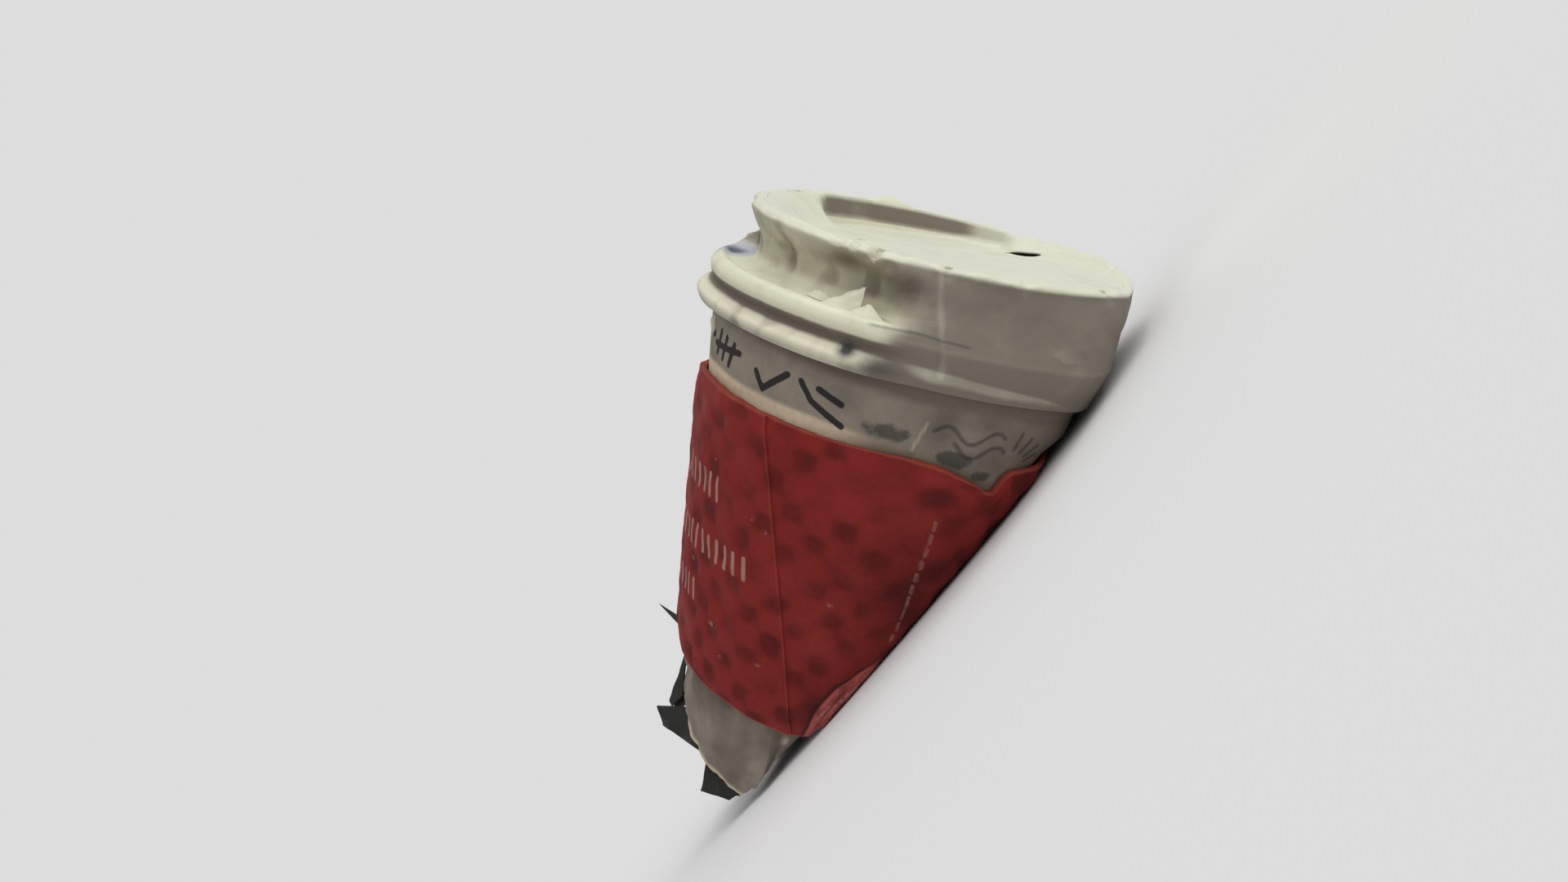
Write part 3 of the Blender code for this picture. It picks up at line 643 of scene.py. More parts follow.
SLEEVE_GAP = 0.5
SLEEVE_FLARE = 0.6
SLEEVE_RADIUS = 38.0
SLEEVE_PLY = 0.45
SEAM_TWIST_WIDTH = 45.0
SEAM_ANGLE_TOP = -114.0
SEAM_ANGLE_BOTTOM = -89.0
EMBOSS_DEPTH = 0.42
EMBOSS_PITCH = 5.1
RED = (0.235, 0.021, 0.019)
RED_DARK = (0.075, 0.010, 0.010)
RED_BRIGHT = (0.36, 0.038, 0.022)
RED_WORN_AND_LIT = (0.44, 0.105, 0.095)
CREAM_PRINT = (0.42, 0.25, 0.20)
BOARD_EDGE = (0.36, 0.085, 0.055)
BOARD_SCUFFED = (0.42, 0.22, 0.20)
BOARD_FOLD = (0.025, 0.012, 0.011)

red_board, tree, shader = new_finish("red_board", 0.6, 0.12)
cloudy = grain(tree, 12.0, 4.0, 0.6)
fine = grain(tree, 1.1, 4.0, 0.6)
hollow = unsettled(tree, "hollow", cloudy, 1.8)
# This mark holds grime and painted shade
grime_and_shade = unsettled(tree, "grime_and_shade", cloudy, 0.8)
print_gap = unsettled(tree, "print_gap", grain(tree, 0.7), 0.1)
fibrous = eased(tree, grain(tree, 1.6, 4.0, 0.6, (0.25, 1.0, 0.6)), 0.35, 0.6, 0.35, 1.0)
colour = layered(tree, RED, [
    # Painted shade in the embossed hollows and a painted highlight on the high spots between them
    (hollow, 0.0, 1.2, 0.0, 0.74, RED_DARK),
    (hollow, 0.1, -0.7, 0.0, 0.45, RED_BRIGHT),
    (grime_and_shade, 0.05, 0.95, 0.0, 0.75, RED_DARK),
    # Lighter red behind the low fold, partly wear and partly painted light on the folded facet
    (maths(tree, 'MULTIPLY', reading(tree, "wear_and_light"), fibrous), RED_WORN_AND_LIT),
    (print_gap, 0.12, -0.12, 0.0, 0.8, CREAM_PRINT),
    (maths(tree, 'MULTIPLY', reading(tree, "scuff"), eased(tree, fine, 0.4, 0.6)), BOARD_SCUFFED),
    # Painted shade along the folds' creases
    ("crease", BOARD_FOLD),
    ("edge", BOARD_EDGE),
    (fine, 0.45, 0.85, 0.0, 0.2, RED_BRIGHT),
])
paint(tree, shader, colour, eased(tree, cloudy, 0.3, 0.7, 0.5, 0.75), fine, 0.07)

SEAM_COLUMN = int(np.argmin(np.abs(ANGLES - 0.5 * (SEAM_ANGLE_TOP + SEAM_ANGLE_BOTTOM))))
SEAM_START = ANGLES[SEAM_COLUMN]
SEAM_STEP = 0.12
sleeve_angles = np.insert(ANGLES, SEAM_COLUMN + 1, SEAM_START + SEAM_STEP)
SLEEVE_ROWS = 140
shares = np.linspace(0.0, 1.0, SLEEVE_ROWS)[:, None]
low, high = sleeve_edges(sleeve_angles)
edge_points = wall_point(sleeve_angles, 60.0, 0.0)
high = high + 0.22 * lumps(edge_points, 3.0, 31, 3) * (1.0 + 5.0 * hump(sleeve_angles, NOTCH_ANGLE, 12.0))
low = low + 0.12 * lumps(edge_points, 4.0, 32, 3)
heights = low + (high - low) * shares
climb = (heights - SLEEVE_BOTTOM) / (SLEEVE_TOP - SLEEVE_BOTTOM)
seam = SEAM_ANGLE_BOTTOM + (SEAM_ANGLE_TOP - SEAM_ANGLE_BOTTOM) * climb
turned = sleeve_angles + (seam - SEAM_START) * hump(sleeve_angles, SEAM_START, SEAM_TWIST_WIDTH)
lap = turn_between(turned, seam)
ply = np.where((lap > -24.0) & (lap <= 0.01), ramp(lap, -24.0, -16.0), 0.0) * SLEEVE_PLY
edge_near = np.minimum(heights - low, high - heights)
tuck = 0.7 * fade(edge_near, 0.0, 4.0)
outer = wall_point(turned, heights, SLEEVE_STANDOFF)
wrinkles = 0.22 * lumps(outer, 15.0, 33) + 0.08 * lumps(outer, 4.0, 34)
offset = SLEEVE_STANDOFF + ply - tuck + wrinkles
bulge = 0.9 * hump(turned, -168.0, 60.0) * fade(shares, 0.2, 0.9)
radius = wall_radius(turned, heights) + offset + SLEEVE_FLARE * shares + bulge
flat_reach = wall_flat(heights) + np.minimum(offset, SLEEVE_STANDOFF)
outer = pressed(radius, turned, heights, flat_reach)
inner_shares = shares[::-7]
inner_heights = low + (high - low) * inner_shares
inner = wall_point(sleeve_angles, inner_heights, np.full_like(inner_heights, SLEEVE_GAP))
rings = np.concatenate([outer, inner])

# Worn print: three rows of plain upright bars at the left and a column of faint dashes at the right.
# A row is its first bar's angle, its number of bars, its middle height and the height of a bar.
PRINT_WIDTH = 0.95
PRINT_ROWS = [(-153.0, 7, 70.6, 4.6), (-154.5, 11, 57.0, 4.6), (-153.0, 5, 44.8, 4.4)]
PRINT_STEP = 4.2
PRINT_BARS = []
for first, bars, middle, tall in PRINT_ROWS:
    for bar in range(bars):
        place = first + PRINT_STEP * bar
        rise = middle + 0.28 * bar
        PRINT_BARS.append([(place, rise - 0.5 * tall), (place - 0.8, rise + 0.5 * tall)])
DASHES = [[(-65.6, 55.0 + 2.9 * dash), (-65.8, 56.5 + 2.9 * dash)] for dash in range(10)]
DASH_WIDTH = 1.0
DASH_FAINTNESS = 0.02
# Small scuffs, each as angle, height and half width, and loose fibres along the low fold
SCUFFS = [(-113.0, 71.5, 1.4), (-108.0, 70.0, 1.0), (-118.0, 36.0, 1.3), (-124.0, 42.0, 1.8),
          (-140.0, 52.0, 1.0), (-103.0, 40.0, 1.0), (-131.0, 78.0, 0.9), (-86.0, 60.0, 1.1)]
FIBRES = [
    [(-77.0, 34.5), (-72.0, 40.5)],
    [(-74.0, 35.5), (-70.5, 41.5), (-68.5, 43.0)],
    [(-80.0, 33.0), (-77.5, 36.5)],
]
# Dark patches of grime and painted shade, each as strength, (angle, height) and radii in mm
GRIME_AND_SHADE_PATCHES = [
    (0.35, (-63.0, 84.0), (10.0, 7.0)),
    (0.70, (-84.0, 33.0), (6.0, 5.0)),
    (0.50, (-60.0, 73.0), (4.0, 4.0)),
    (0.75, (-66.5, 88.0), (5.0, 3.5)),
    (0.45, (-66.0, 66.0), (5.0, 9.0)),
]

around = radians(1.0) * SLEEVE_RADIUS * turned
even = wall_point(turned, heights, 0.0)
shifted = (around + 1.6 * lumps(even, 13.0, 35, 1)) * np.pi / EMBOSS_PITCH
raised = (heights + 1.6 * lumps(even, 13.0, 36, 1)) * np.pi / EMBOSS_PITCH
# Where the hollows lie; they are pressed in and also carry painted shade, with a painted highlight between
# them
hollow = ramp(np.cos(shifted) * np.cos(raised), -0.55, 0.8) * (0.74 + 0.7 * lumps(even, 8.0, 37, 1))

# The low fold at the crushed edge, with painted shade along its crease and a second fold, and
# worn board behind it, lighter red partly as wear and partly as painted light on the folded facet
fold_share = np.clip((heights - 27.0) / 23.0, 0.0, 1.0)
fold_turn = -83.0 + 16.0 * fold_share - 22.0 * fold_share * (1.0 - fold_share)
facing = turn_between(turned, 0.0)
past_fold = facing - fold_turn
low_down = fade(heights, 47.0, 51.0) * (facing < 20.0)
wear_and_light = ramp(past_fold, 0.3, 1.5) * low_down
second_fold = fade(np.abs(past_fold - 5.0), 0.1, 0.8) * fade(heights, 40.0, 46.0)
crease = (0.8 * fade(np.abs(past_fold - 0.2), 0.2, 1.3) + 0.5 * second_fold) * low_down

print_gap = stroke_gap(turned, heights, PRINT_BARS, PRINT_WIDTH, SLEEVE_RADIUS)
dash_gap = stroke_gap(turned, heights, DASHES, DASH_WIDTH, SLEEVE_RADIUS)
print_gap = np.minimum(print_gap, np.maximum(dash_gap, DASH_FAINTNESS))
scuff = sum(spot(turned, heights, (angle, height), (size, 0.5 * size)) for angle, height, size in SCUFFS)
scuff += sum(0.9 * streak(turned, heights, fibre, 0.1, 0.55, SLEEVE_RADIUS) for fibre in FIBRES)
grime_and_shade = patches(turned, heights, GRIME_AND_SHADE_PATCHES)
right_part = ramp(turn_between(turned, -108.0), -5.0, 45.0)
# Painted shade: the right part, turned from the light, darker, less so near the top
grime_and_shade += 0.55 * right_part * (1.0 - 0.6 * ramp(heights, 68.0, 84.0))
lap_edge = (lap > -0.5) & (lap <= 0.01)
marks = {"hollow": hollow, "print_gap": print_gap, "scuff": scuff, "grime_and_shade": grime_and_shade, "wear_and_light": wear_and_light,
         "crease": crease, "edge": 0.7 * fade(edge_near, 0.02, 0.35) + 0.4 * lap_edge}
inside = {"grime_and_shade": 0.5, "edge": 0.3, "print_gap": NO_LINE}
marks = {mark: np.concatenate([values, np.full(inner.shape[:2], inside.get(mark, 0.0))])
         for mark, values in marks.items()}
marks["emboss"] = np.concatenate([hollow * (1.0 - tuck / 0.7), np.zeros(inner.shape[:2])])
sleeve = ring_body("red_sleeve", rings, marks, red_board)


def pressing_tool(name):
    """Geometry Nodes that press the hollows of the embossing into a board."""
    tree = bpy.data.node_groups.new(name, "GeometryNodeTree")
    tree.interface.new_socket("Board", in_out='INPUT', socket_type='NodeSocketGeometry')
    depth = tree.interface.new_socket("Depth", in_out='INPUT', socket_type='NodeSocketFloat')
    surface = tree.interface.new_socket("Finish", in_out='INPUT', socket_type='NodeSocketMaterial')
    tree.interface.new_socket("Board", in_out='OUTPUT', socket_type='NodeSocketGeometry')
    given = add(tree, "NodeGroupInput")
    hollows = add(tree, "GeometryNodeInputNamedAttribute", {"Name": "emboss"}, data_type='FLOAT')
    inward = maths(tree, 'MULTIPLY', given.outputs["Depth"], -1.0)
    sunk = maths(tree, 'MULTIPLY', hollows.outputs["Attribute"], inward)
    normal = add(tree, "GeometryNodeInputNormal").outputs["Normal"]
    shift = add(tree, "ShaderNodeVectorMath", {"Vector": normal, "Scale": sunk}, operation='SCALE')
    moves = {"Geometry": given.outputs["Board"], "Offset": shift.outputs["Vector"]}
    moved = add(tree, "GeometryNodeSetPosition", moves).outputs["Geometry"]
    real = add(tree, "GeometryNodeRealizeInstances", {"Geometry": moved}).outputs["Geometry"]
    coating = {"Geometry": real, "Material": given.outputs["Finish"]}
    coated = add(tree, "GeometryNodeSetMaterial", coating).outputs["Geometry"]
    add(tree, "NodeGroupOutput", {"Board": coated})
    return tree, depth.identifier, surface.identifier


def work_in(piece):
    """Turn what a piece's modifiers make of it into its plain mesh."""
    found = piece.evaluated_get(bpy.context.evaluated_depsgraph_get())
    made = bpy.data.meshes.new_from_object(found)
    piece.modifiers.clear()
    piece.data = made


press, depth_input, finish_input = pressing_tool("embossing")
pressing = sleeve.modifiers.new(press.name, 'NODES')
pressing.node_group = press
pressing[depth_input] = EMBOSS_DEPTH * MM
pressing[finish_input] = red_board
work_in(sleeve)
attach(sleeve, "root")
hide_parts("sleeve")

# The lid
# One thin sheet of cream plastic, formed hot over a mould with a raised rim, a recessed panel,
# a sip slot, and a beaded skirt that snaps over the cup's curl. It is dented and grimy, with painted
# shade on its side, in its dents, channel and recess and under a popped-up lump, and its beads
# are smeared smooth where the cup was crushed.

LID_THICKNESS = 0.5
LID_RISE = 15.3
LID_RIM_RADIUS = 40.0
NECK_DEPTH = 3.2
LEDGE_RISE = 2.2
SKIRT_FLARE = 1.1
PANEL_DROP = 3.0
PANEL_SLOPE = (0.085, -0.050)
POP_UP_ANGLE = 178.0
POP_UP_HEIGHT = 4.5
FAR_NECK = (115.0, 50.0)
FAR_NECK_FILL = 2.2
FLUTE = (-131.0, 9.0)
FLUTE_DEPTH = 0.9
DENT = (-96.0, 15.0)
DENT_DEPTH = 1.3
SMEAR_START = (-94.0, -76.0)
SMEAR_END = (70.0, 95.0)
STEEP_SIDE = (111.0, 62.0)
SIP_SLOT_REACH = 3.4
SIP_SLOT_ENDS = (0.5, 2.1)
SIP_SLOT_RADIUS = 28.2
SIP_SLOT_ANGLE = 60.0
VENT_RADIUS = 0.9
VENT_PLACE = (-14.0, -11.0)
CUTTER_REACH = 6.0
CURL_REACH = 1.55
BEAD_RADIUS = CUP_MOUTH_RADIUS + CURL_REACH + LID_THICKNESS
RIM_TOP = CURL_CENTRE + LID_RISE
LID_CREAM = (0.77, 0.74, 0.57)
LID_PANEL = (0.685, 0.685, 0.56)
LID_GREEN = (0.70, 0.70, 0.52)
LID_DUST_AND_SHADE = (0.20, 0.173, 0.135)
LID_BROWN = (0.13, 0.105, 0.08)
LID_SMUDGE_AND_SHADE = (0.035, 0.035, 0.037)
LID_BLUE = (0.47, 0.49, 0.54)
LID_NAVY = (0.06, 0.07, 0.10)

cream_plastic, tree, shader = new_finish("cream_plastic", 0.45, 0.4)
cloudy = grain(tree, 14.0, 4.0, 0.6)
streaks = grain(tree, 5.0, 4.0, 0.6, (0.5, 1.0, 0.5))
fine = grain(tree, 0.9, 4.0, 0.65)
blotches = eased(tree, grain(tree, 5.0, 4.0, 0.6), 0.3, 0.55, 0.55, 1.1)
# This mark holds dust and painted shade
patchy = maths(tree, 'MULTIPLY', maths(tree, 'SUBTRACT', cloudy, 0.5), reading(tree, "dust_and_shade"))
dust_and_shade_share = maths(tree, 'ADD', reading(tree, "dust_and_shade"), maths(tree, 'MULTIPLY', patchy, 1.1))
colour = layered(tree, LID_CREAM, [
    ("panel", LID_PANEL),
    (maths(tree, 'MULTIPLY', reading(tree, "green"), eased(tree, cloudy, 0.3, 0.6, 0.4, 1.0)), LID_GREEN),
    (dust_and_shade_share, 0.0, 1.0, LID_DUST_AND_SHADE),
    # Brown painted shade in the dents and hollows
    (maths(tree, 'MULTIPLY', reading(tree, "brown"), blotches), LID_BROWN),
    (streaks, 0.5, 0.8, 0.0, 0.22, LID_DUST_AND_SHADE),
    # Smudges and a painted shadow
    (maths(tree, 'MULTIPLY', reading(tree, "smudge_and_shade"), eased(tree, fine, 0.25, 0.5, 0.6, 1.0)), LID_SMUDGE_AND_SHADE),
    # Painted shade on the popped-up lump: blue-grey low on it and navy at its foot
    ("blue", 0.0, 0.5, LID_BLUE),
    ("blue", 0.6, 1.0, LID_NAVY),
    (fine, 0.55, 0.8, 0.0, 0.12, LID_DUST_AND_SHADE),
])
rough = eased(tree, dust_and_shade_share, 0.0, 0.9, 0.42, 0.7)
paint(tree, shader, colour, rough, maths(tree, 'ADD', fine, streaks), 0.04)


def panel_plane(reach, angle):
    turn = np.radians(angle)
    return RIM_TOP - PANEL_DROP + reach * (PANEL_SLOPE[0] * np.cos(turn) + PANEL_SLOPE[1] * np.sin(turn))


def lid_rows(angle):
    """The lid's outer profile at each angle, as rows of (radius, height)."""
    rim, top, bead, centre = LID_RIM_RADIUS, RIM_TOP, BEAD_RADIUS, CURL_CENTRE
    neck, skirt, ledge = LID_RIM_RADIUS - NECK_DEPTH, BEAD_RADIUS + SKIRT_FLARE, CURL_CENTRE + LEDGE_RISE
    gap = bead - rim
    crisp = np.array([
        (rim - 2.4, top - 0.25), (rim - 1.3, top), (rim - 0.3, top - 0.6), (rim, top - 2.0),
        (neck, top - 6.8), (neck - 0.2, ledge + 1.9), (neck + 0.8, ledge + 0.1), (bead - 4.0, ledge - 0.7),
        (bead - 2.0, ledge + 0.2), (bead - 0.4, ledge - 0.1), (bead + 0.45, centre + 0.8),
        (bead + 0.4, centre - 0.4), (bead - 0.4, centre - 1.6), (bead - 1.2, centre - 2.7),
        (skirt - 1.3, centre - 3.9), (skirt - 0.1, centre - 5.0), (skirt, centre - 6.0),
        (skirt - 0.4, SKIRT_EDGE)])
    smeared = np.array([
        *crisp[:4], (rim + 0.25 * gap, top - 6.0), (rim + 0.50 * gap, ledge + 3.6),
        (rim + 0.62 * gap, ledge + 2.2), (rim + 0.71 * gap, ledge + 1.2), (bead - 1.12, ledge + 0.3),
        (bead - 0.75, ledge - 0.4), (bead - 0.35, centre + 0.9), (bead, centre), (bead - 0.05, centre - 1.5),
        (bead - 0.2, centre - 2.7), (bead - 0.45, centre - 3.9), (bead - 0.7, centre - 5.0),
        (bead - 0.95, centre - 6.0), (bead - 1.15, SKIRT_EDGE)])
    around = turn_between(angle, 0.0)
    smear = ramp(around, *SMEAR_START) * fade(around, *SMEAR_END)
    rows = crisp[:, None] + (smeared - crisp)[:, None] * smear[None, :, None]
    rows[4:7, :, 0] += FAR_NECK_FILL * hump(angle, *FAR_NECK)
    rows[4:7, :, 0] -= FLUTE_DEPTH * hump(angle, *FLUTE) + DENT_DEPTH * hump(angle, *DENT)
    rows[..., 1] += mouth_shift(angle) * np.clip((np.arange(len(crisp)) - 4) / 2.0, 0.0, 1.0)[:, None]
    run = (rows[3, :, 1] - rows[4:11, :, 1]) / (rows[3, :, 1] - rows[11, :, 1])
    rows[4:11, :, 0] += (rim + gap * run - rows[4:11, :, 0]) * smear

    # The ledge that popped up at the far left, and the beads drawn in beside it
    pop = hump(angle, POP_UP_ANGLE, 22.0)
    far_left = hump(angle, 180.0, 55.0)
    rows[6, :, 0] += 1.2 * pop
    rows[6, :, 1] += POP_UP_HEIGHT * pop
    rows[7, :, 1] += 0.8 * POP_UP_HEIGHT * pop
    rows[8, :, 0] -= 1.5 * pop
    rows[8, :, 1] += 0.25 * POP_UP_HEIGHT * pop
    rows[9, :, 0] -= 1.1 * far_left
    rows[10:12, :, 0] -= 0.7 * far_left
    rows[14:, :, 0] += 0.8 * hump(angle, -170.0, 45.0)
    return rows


def smoothed(rows, steps):
    """More rows on soft curves through the given ones."""
    padded = np.concatenate([2 * rows[:1] - rows[1:2], rows, 2 * rows[-1:] - rows[-2:-1]])
    finer = []
    for index in range(len(rows) - 1):
        before, start, end, after = padded[index:index + 4]
        for share in np.arange(steps) / steps:
            square, cube = share ** 2, share ** 3
            blend = 3 * square - 2 * cube
            leave = 0.5 * (end - before) * (cube - 2 * square + share)
            arrive = 0.5 * (after - start) * (cube - square)
            finer.append(start * (1 - blend) + end * blend + leave + arrive)
    return np.array(finer + [rows[-1]])


def humps(angle, table):
    """The sum of smooth bumps, each given as its angle, half width and height."""
    return sum(tall * hump(angle, centre, half_width) for centre, half_width, tall in table)


control = lid_rows(ANGLES)
profile = smoothed(control, 5)
edge_reach = control[0, :, 0] - 0.4

# How wide the soft slope from rim to panel is: broad on the near side, steep on the far side
BROAD_LAND = 13.0
STEEP_LAND = 1.6
steep = hump(ANGLES, *STEEP_SIDE)
land = BROAD_LAND - (BROAD_LAND - STEEP_LAND) * ramp(steep, 0.10, 0.40)
panel_shares = np.concatenate([np.linspace(0.05, 0.7, 14), np.linspace(0.7, 1.0, 26)[1:]])[:, None]
panel_reach = edge_reach * panel_shares
rim_level = control[0, :, 1]
plane = panel_plane(panel_reach, ANGLES)
plane = np.minimum(plane, rim_level + 0.3)
rise = fade(edge_reach - panel_reach, 0.0, land)
panel_height = plane + (rim_level - plane) * rise
turn = np.radians(ANGLES)
panel_points = np.stack([panel_reach * np.cos(turn), panel_reach * np.sin(turn), panel_height], axis=-1)
panel_points[..., 2] += (0.30 * lumps(panel_points, 12.0, 41) + 0.06) * (1.0 - rise)
slot_dip = np.hypot(panel_points[..., 0] - 12.0, panel_points[..., 1] - 24.0)
panel_points[..., 2] -= 0.6 * fade(slot_dip, 0.0, 8.0) * (1.0 - rise)

# The lid's dents, brown patches of painted shade in and beside them, and smudges, one of them a
# painted shadow, each as strength, (angle, height) and radii
NECK_DENTS = [(1.1, (-103.0, 122.5), (4.5, 3.4)), (0.9, (-88.0, 121.5), (4.5, 3.2))]
BROWN_PATCHES = [
    (0.85, (-105.0, 124.2), (8.0, 3.6)),
    (0.62, (-88.0, 122.6), (9.0, 4.6)),
    (0.35, (-113.0, 123.0), (6.0, 2.5)),
]
SMUDGES_AND_SHADE = [(1.2, (-96.0, 110.4), (2.6, 2.2)), (0.60, (-88.0, 109.2), (6.0, 2.6))]
SCRAPED = (-47.0, 117.0)
# The neck's flutes and the rim's nicks, each as angle, half width and depth
NECK_FLUTES = [(-129.0, 5.0, 0.9), (-119.5, 4.0, 0.35), (-111.0, 3.5, 0.45), (-86.0, 3.0, 0.5)]
RIM_NICKS = [(-97.0, 2.2, 1.3), (-103.0, 1.6, 0.7), (-108.0, 3.0, 0.4), (-78.5, 2.6, 0.7), (-58.0, 2.0, 0.5),
             (-27.0, 5.0, 0.9), (-12.0, 2.6, 0.6), (2.0, 14.0, 0.3), (38.0, 38.0, -0.9), (24.0, 3.0, 0.6),
             (62.0, 2.2, 0.8), (73.0, 3.5, 1.0), (88.0, 2.4, 0.7), (119.0, 9.0, -1.2), (108.0, 2.6, 0.5),
             (-158.0, 5.0, 0.5), (150.0, 3.0, 0.7)]
# A crease down the crushed side and a crack, as lines of (angle, height)
SIDE_CREASE = [(-80.0, 127.0), (-78.5, 122.0), (-75.0, 113.0), (-74.5, 110.0)]
SIDE_CRACK = [(-92.0, 115.9), (-82.0, 116.3), (-70.0, 115.9)]

heights = profile[..., 1]
level = heights - mouth_shift(ANGLES)
shell = pressed(profile[..., 0], ANGLES, heights, wall_flat(heights) + CURL_REACH + LID_THICKNESS)
on_wall = ramp(level, CURL_CENTRE + 2.6, CURL_CENTRE + 5.0)
dents = (0.45 * lumps(shell, 11.0, 42) + 0.2 * lumps(shell, 4.0, 43)) * (0.15 + 0.85 * on_wall)
dents -= patches(ANGLES, heights, NECK_DENTS)
dents -= humps(ANGLES, NECK_FLUTES) * on_wall * fade(heights, 123.0, 126.0)
dents += 0.55 * streak(ANGLES, heights, SIDE_CREASE, 0.0, 1.3)
pop_zone = hump(ANGLES, 178.0, 24.0) * ramp(level, CURL_CENTRE + 1.6, CURL_CENTRE + 3.0)
pop_zone = pop_zone * fade(level, CURL_CENTRE + 7.0, CURL_CENTRE + 9.0)
dents += pop_zone * (2.0 * np.abs(lumps(shell, 4.0, 46, 1)) - 1.2)
nicks = humps(ANGLES, RIM_NICKS)
top_zone = ramp(heights, RIM_TOP - 2.6, RIM_TOP - 0.4)
radius = profile[..., 0] + dents - 0.5 * nicks * top_zone
uneven = 0.5 * lumps(shell, 14.0, 47) - 0.4 * hump(ANGLES, -163.0, 10.0) - 0.9 * hump(ANGLES, 178.0, 28.0)
radius = radius + uneven * ramp(heights, RIM_TOP - 6.0, RIM_TOP - 1.0)
heights = heights - nicks * top_zone + 0.30 * lumps(shell, 4.5, 44, 3) * top_zone
skirt_zone = fade(heights, SKIRT_EDGE, SKIRT_EDGE + 2.0)
heights = heights + 0.3 * lumps(shell, 6.0, 45, 3) * skirt_zone
reach_limit = wall_flat(heights) + CURL_REACH + LID_THICKNESS
shell = pressed(radius, ANGLES, heights, reach_limit)

steps = np.gradient(np.stack([radius, heights], axis=-1), axis=0)
length = np.maximum(np.linalg.norm(steps, axis=-1), 1e-6)
inner_radius = radius + steps[..., 1] / length * LID_THICKNESS
inner_heights = heights - steps[..., 0] / length * LID_THICKNESS
inner_shell = pressed(inner_radius, ANGLES, inner_heights, wall_flat(inner_heights) + CURL_REACH)
under_panel = panel_points - (0.0, 0.0, LID_THICKNESS)
rings = np.concatenate([panel_points, shell, inner_shell[::-2], under_panel[::-2]])


def over_lid(panel, side):
    """A mark on all the lid's rows: the panel, the side of the shell, and 0 on the inside."""
    inside = len(rings) - len(panel_points) - len(shell)
    return np.concatenate([np.broadcast_to(panel, panel_points.shape[:2]),
                           np.broadcast_to(side, shell.shape[:2]), np.zeros((inside, COLUMNS))])


heights_all = np.concatenate([panel_points[..., 2], heights, inner_heights[::-2], under_panel[::-2, :, 2]])
turned = turn_between(ANGLES, 0.0)
below_rim = ramp(RIM_TOP - heights, 0.3, 1.6)
outside = over_lid(1.0, 1.0)
on_side = over_lid(0.0, below_rim)
on_top = over_lid(1.0, 1.0 - below_rim)
recess = over_lid(ramp(rise, 0.0, 0.35) * fade(rise, 0.80, 0.99), 0.0)
level = heights_all - mouth_shift(ANGLES) - CURL_CENTRE
crushed = ramp(turned, -94.0, -78.0) * fade(turned, 75.0, 95.0)
on_neck = ramp(level, 2.4, 5.0)
far_side = ramp(turned, -82.0, -58.0) * crushed

# Dust and painted shade: painted shade all over the side, thick on the crushed part save for a beige
# strip low down, a scraped spot and a painted highlight along the crease, and thick in the channel
# between the beads, under the skirt's edge and in the panel's recess; mottled grime with some
# painted crumple shade on the whole side
# Painted shade on the side above the ledge, darker on the crushed part and darkest at its far end
dust_and_shade = (0.50 + 0.20 * crushed + 0.40 * far_side) * on_neck
strip_top = np.interp(turned, [-92.0, -70.0, -49.0, -38.0], [-2.6, -3.2, -4.6, -6.2])
beige = ramp(strip_top - level, 0.0, 0.5) * fade(strip_top - level, 1.6, 3.4)
dust_and_shade += crushed * (1.0 - on_neck) * (0.90 + 0.20 * far_side - 0.34 * beige)
scraped = spot(ANGLES, heights_all, SCRAPED, (7.0, 2.6)) + 0.9 * lumps(rings, 3.2, 60, 3)
dust_and_shade -= 0.30 * ramp(scraped, 0.35, 0.6) * spot(ANGLES, heights_all, SCRAPED, (9.0, 5.0))
# Painted highlight along the crease
dust_and_shade -= 0.16 * streak(ANGLES, heights_all, SIDE_CREASE, 0.1, 1.0)
dust_and_shade -= 0.12 * ramp(turned, -56.0, -40.0) * crushed * fade(level, 0.0, 3.0)
# Painted shadow of the crumple where the smear begins, and painted shade on the bead's end beside it
dust_and_shade += 0.8 * spot(ANGLES, heights_all, (-86.0, 108.8), (7.5, 3.0))
dust_and_shade += 0.35 * fade(np.abs(turned + 82.0), 2.0, 9.0) * fade(np.abs(level + 1.0), 1.0, 3.5)
whole = 1.0 - crushed
dust_and_shade += 0.15 * whole * fade(level, -3.0, -2.0)
# Mottled grime with painted crumple shade
dust_and_shade += 0.26 * whole * ramp(lumps(rings, 6.0, 61, 3), 0.05, 0.6)
# Painted shade in the channel between the beads and under the skirt's edge
channel = whole * fade(np.abs(level + 2.2), 0.5, 1.7)
dust_and_shade += 1.3 * channel + 0.35 * fade(level, -6.9, -5.2)
# Painted shade in the panel's recess on the steep far side
dust_and_shade = dust_and_shade * on_side + recess * ramp(steep, 0.15, 0.45) * (0.35 + 0.65 * ramp(turned, 84.0, 94.0))

green = (0.9 * whole * fade(np.abs(level - 1.9), 0.7, 1.6) + 0.25 * crushed) * on_side
green += 0.3 * recess * hump(ANGLES, 120.0, 40.0)
green += 0.9 * hump(ANGLES, 119.0, 10.0) * on_top * ramp(heights_all, RIM_TOP - 1.0, RIM_TOP + 0.2)
# Brown painted shade in the dents, the channel, the upper crushed side and the flute
brown = patches(ANGLES, heights_all, BROWN_PATCHES) + 0.45 * channel
brown += 0.38 * crushed * ramp(level, 4.0, 9.0) * fade(turned, -62.0, -36.0)
brown += 0.45 * hump(ANGLES, -129.5, 4.0) * on_neck
# A smudge, a painted shadow of the crumple beside it, and a dark crack line
smudge_and_shade = patches(ANGLES, heights_all, SMUDGES_AND_SHADE) + 0.5 * streak(ANGLES, heights_all, SIDE_CRACK, 0.05, 0.4)
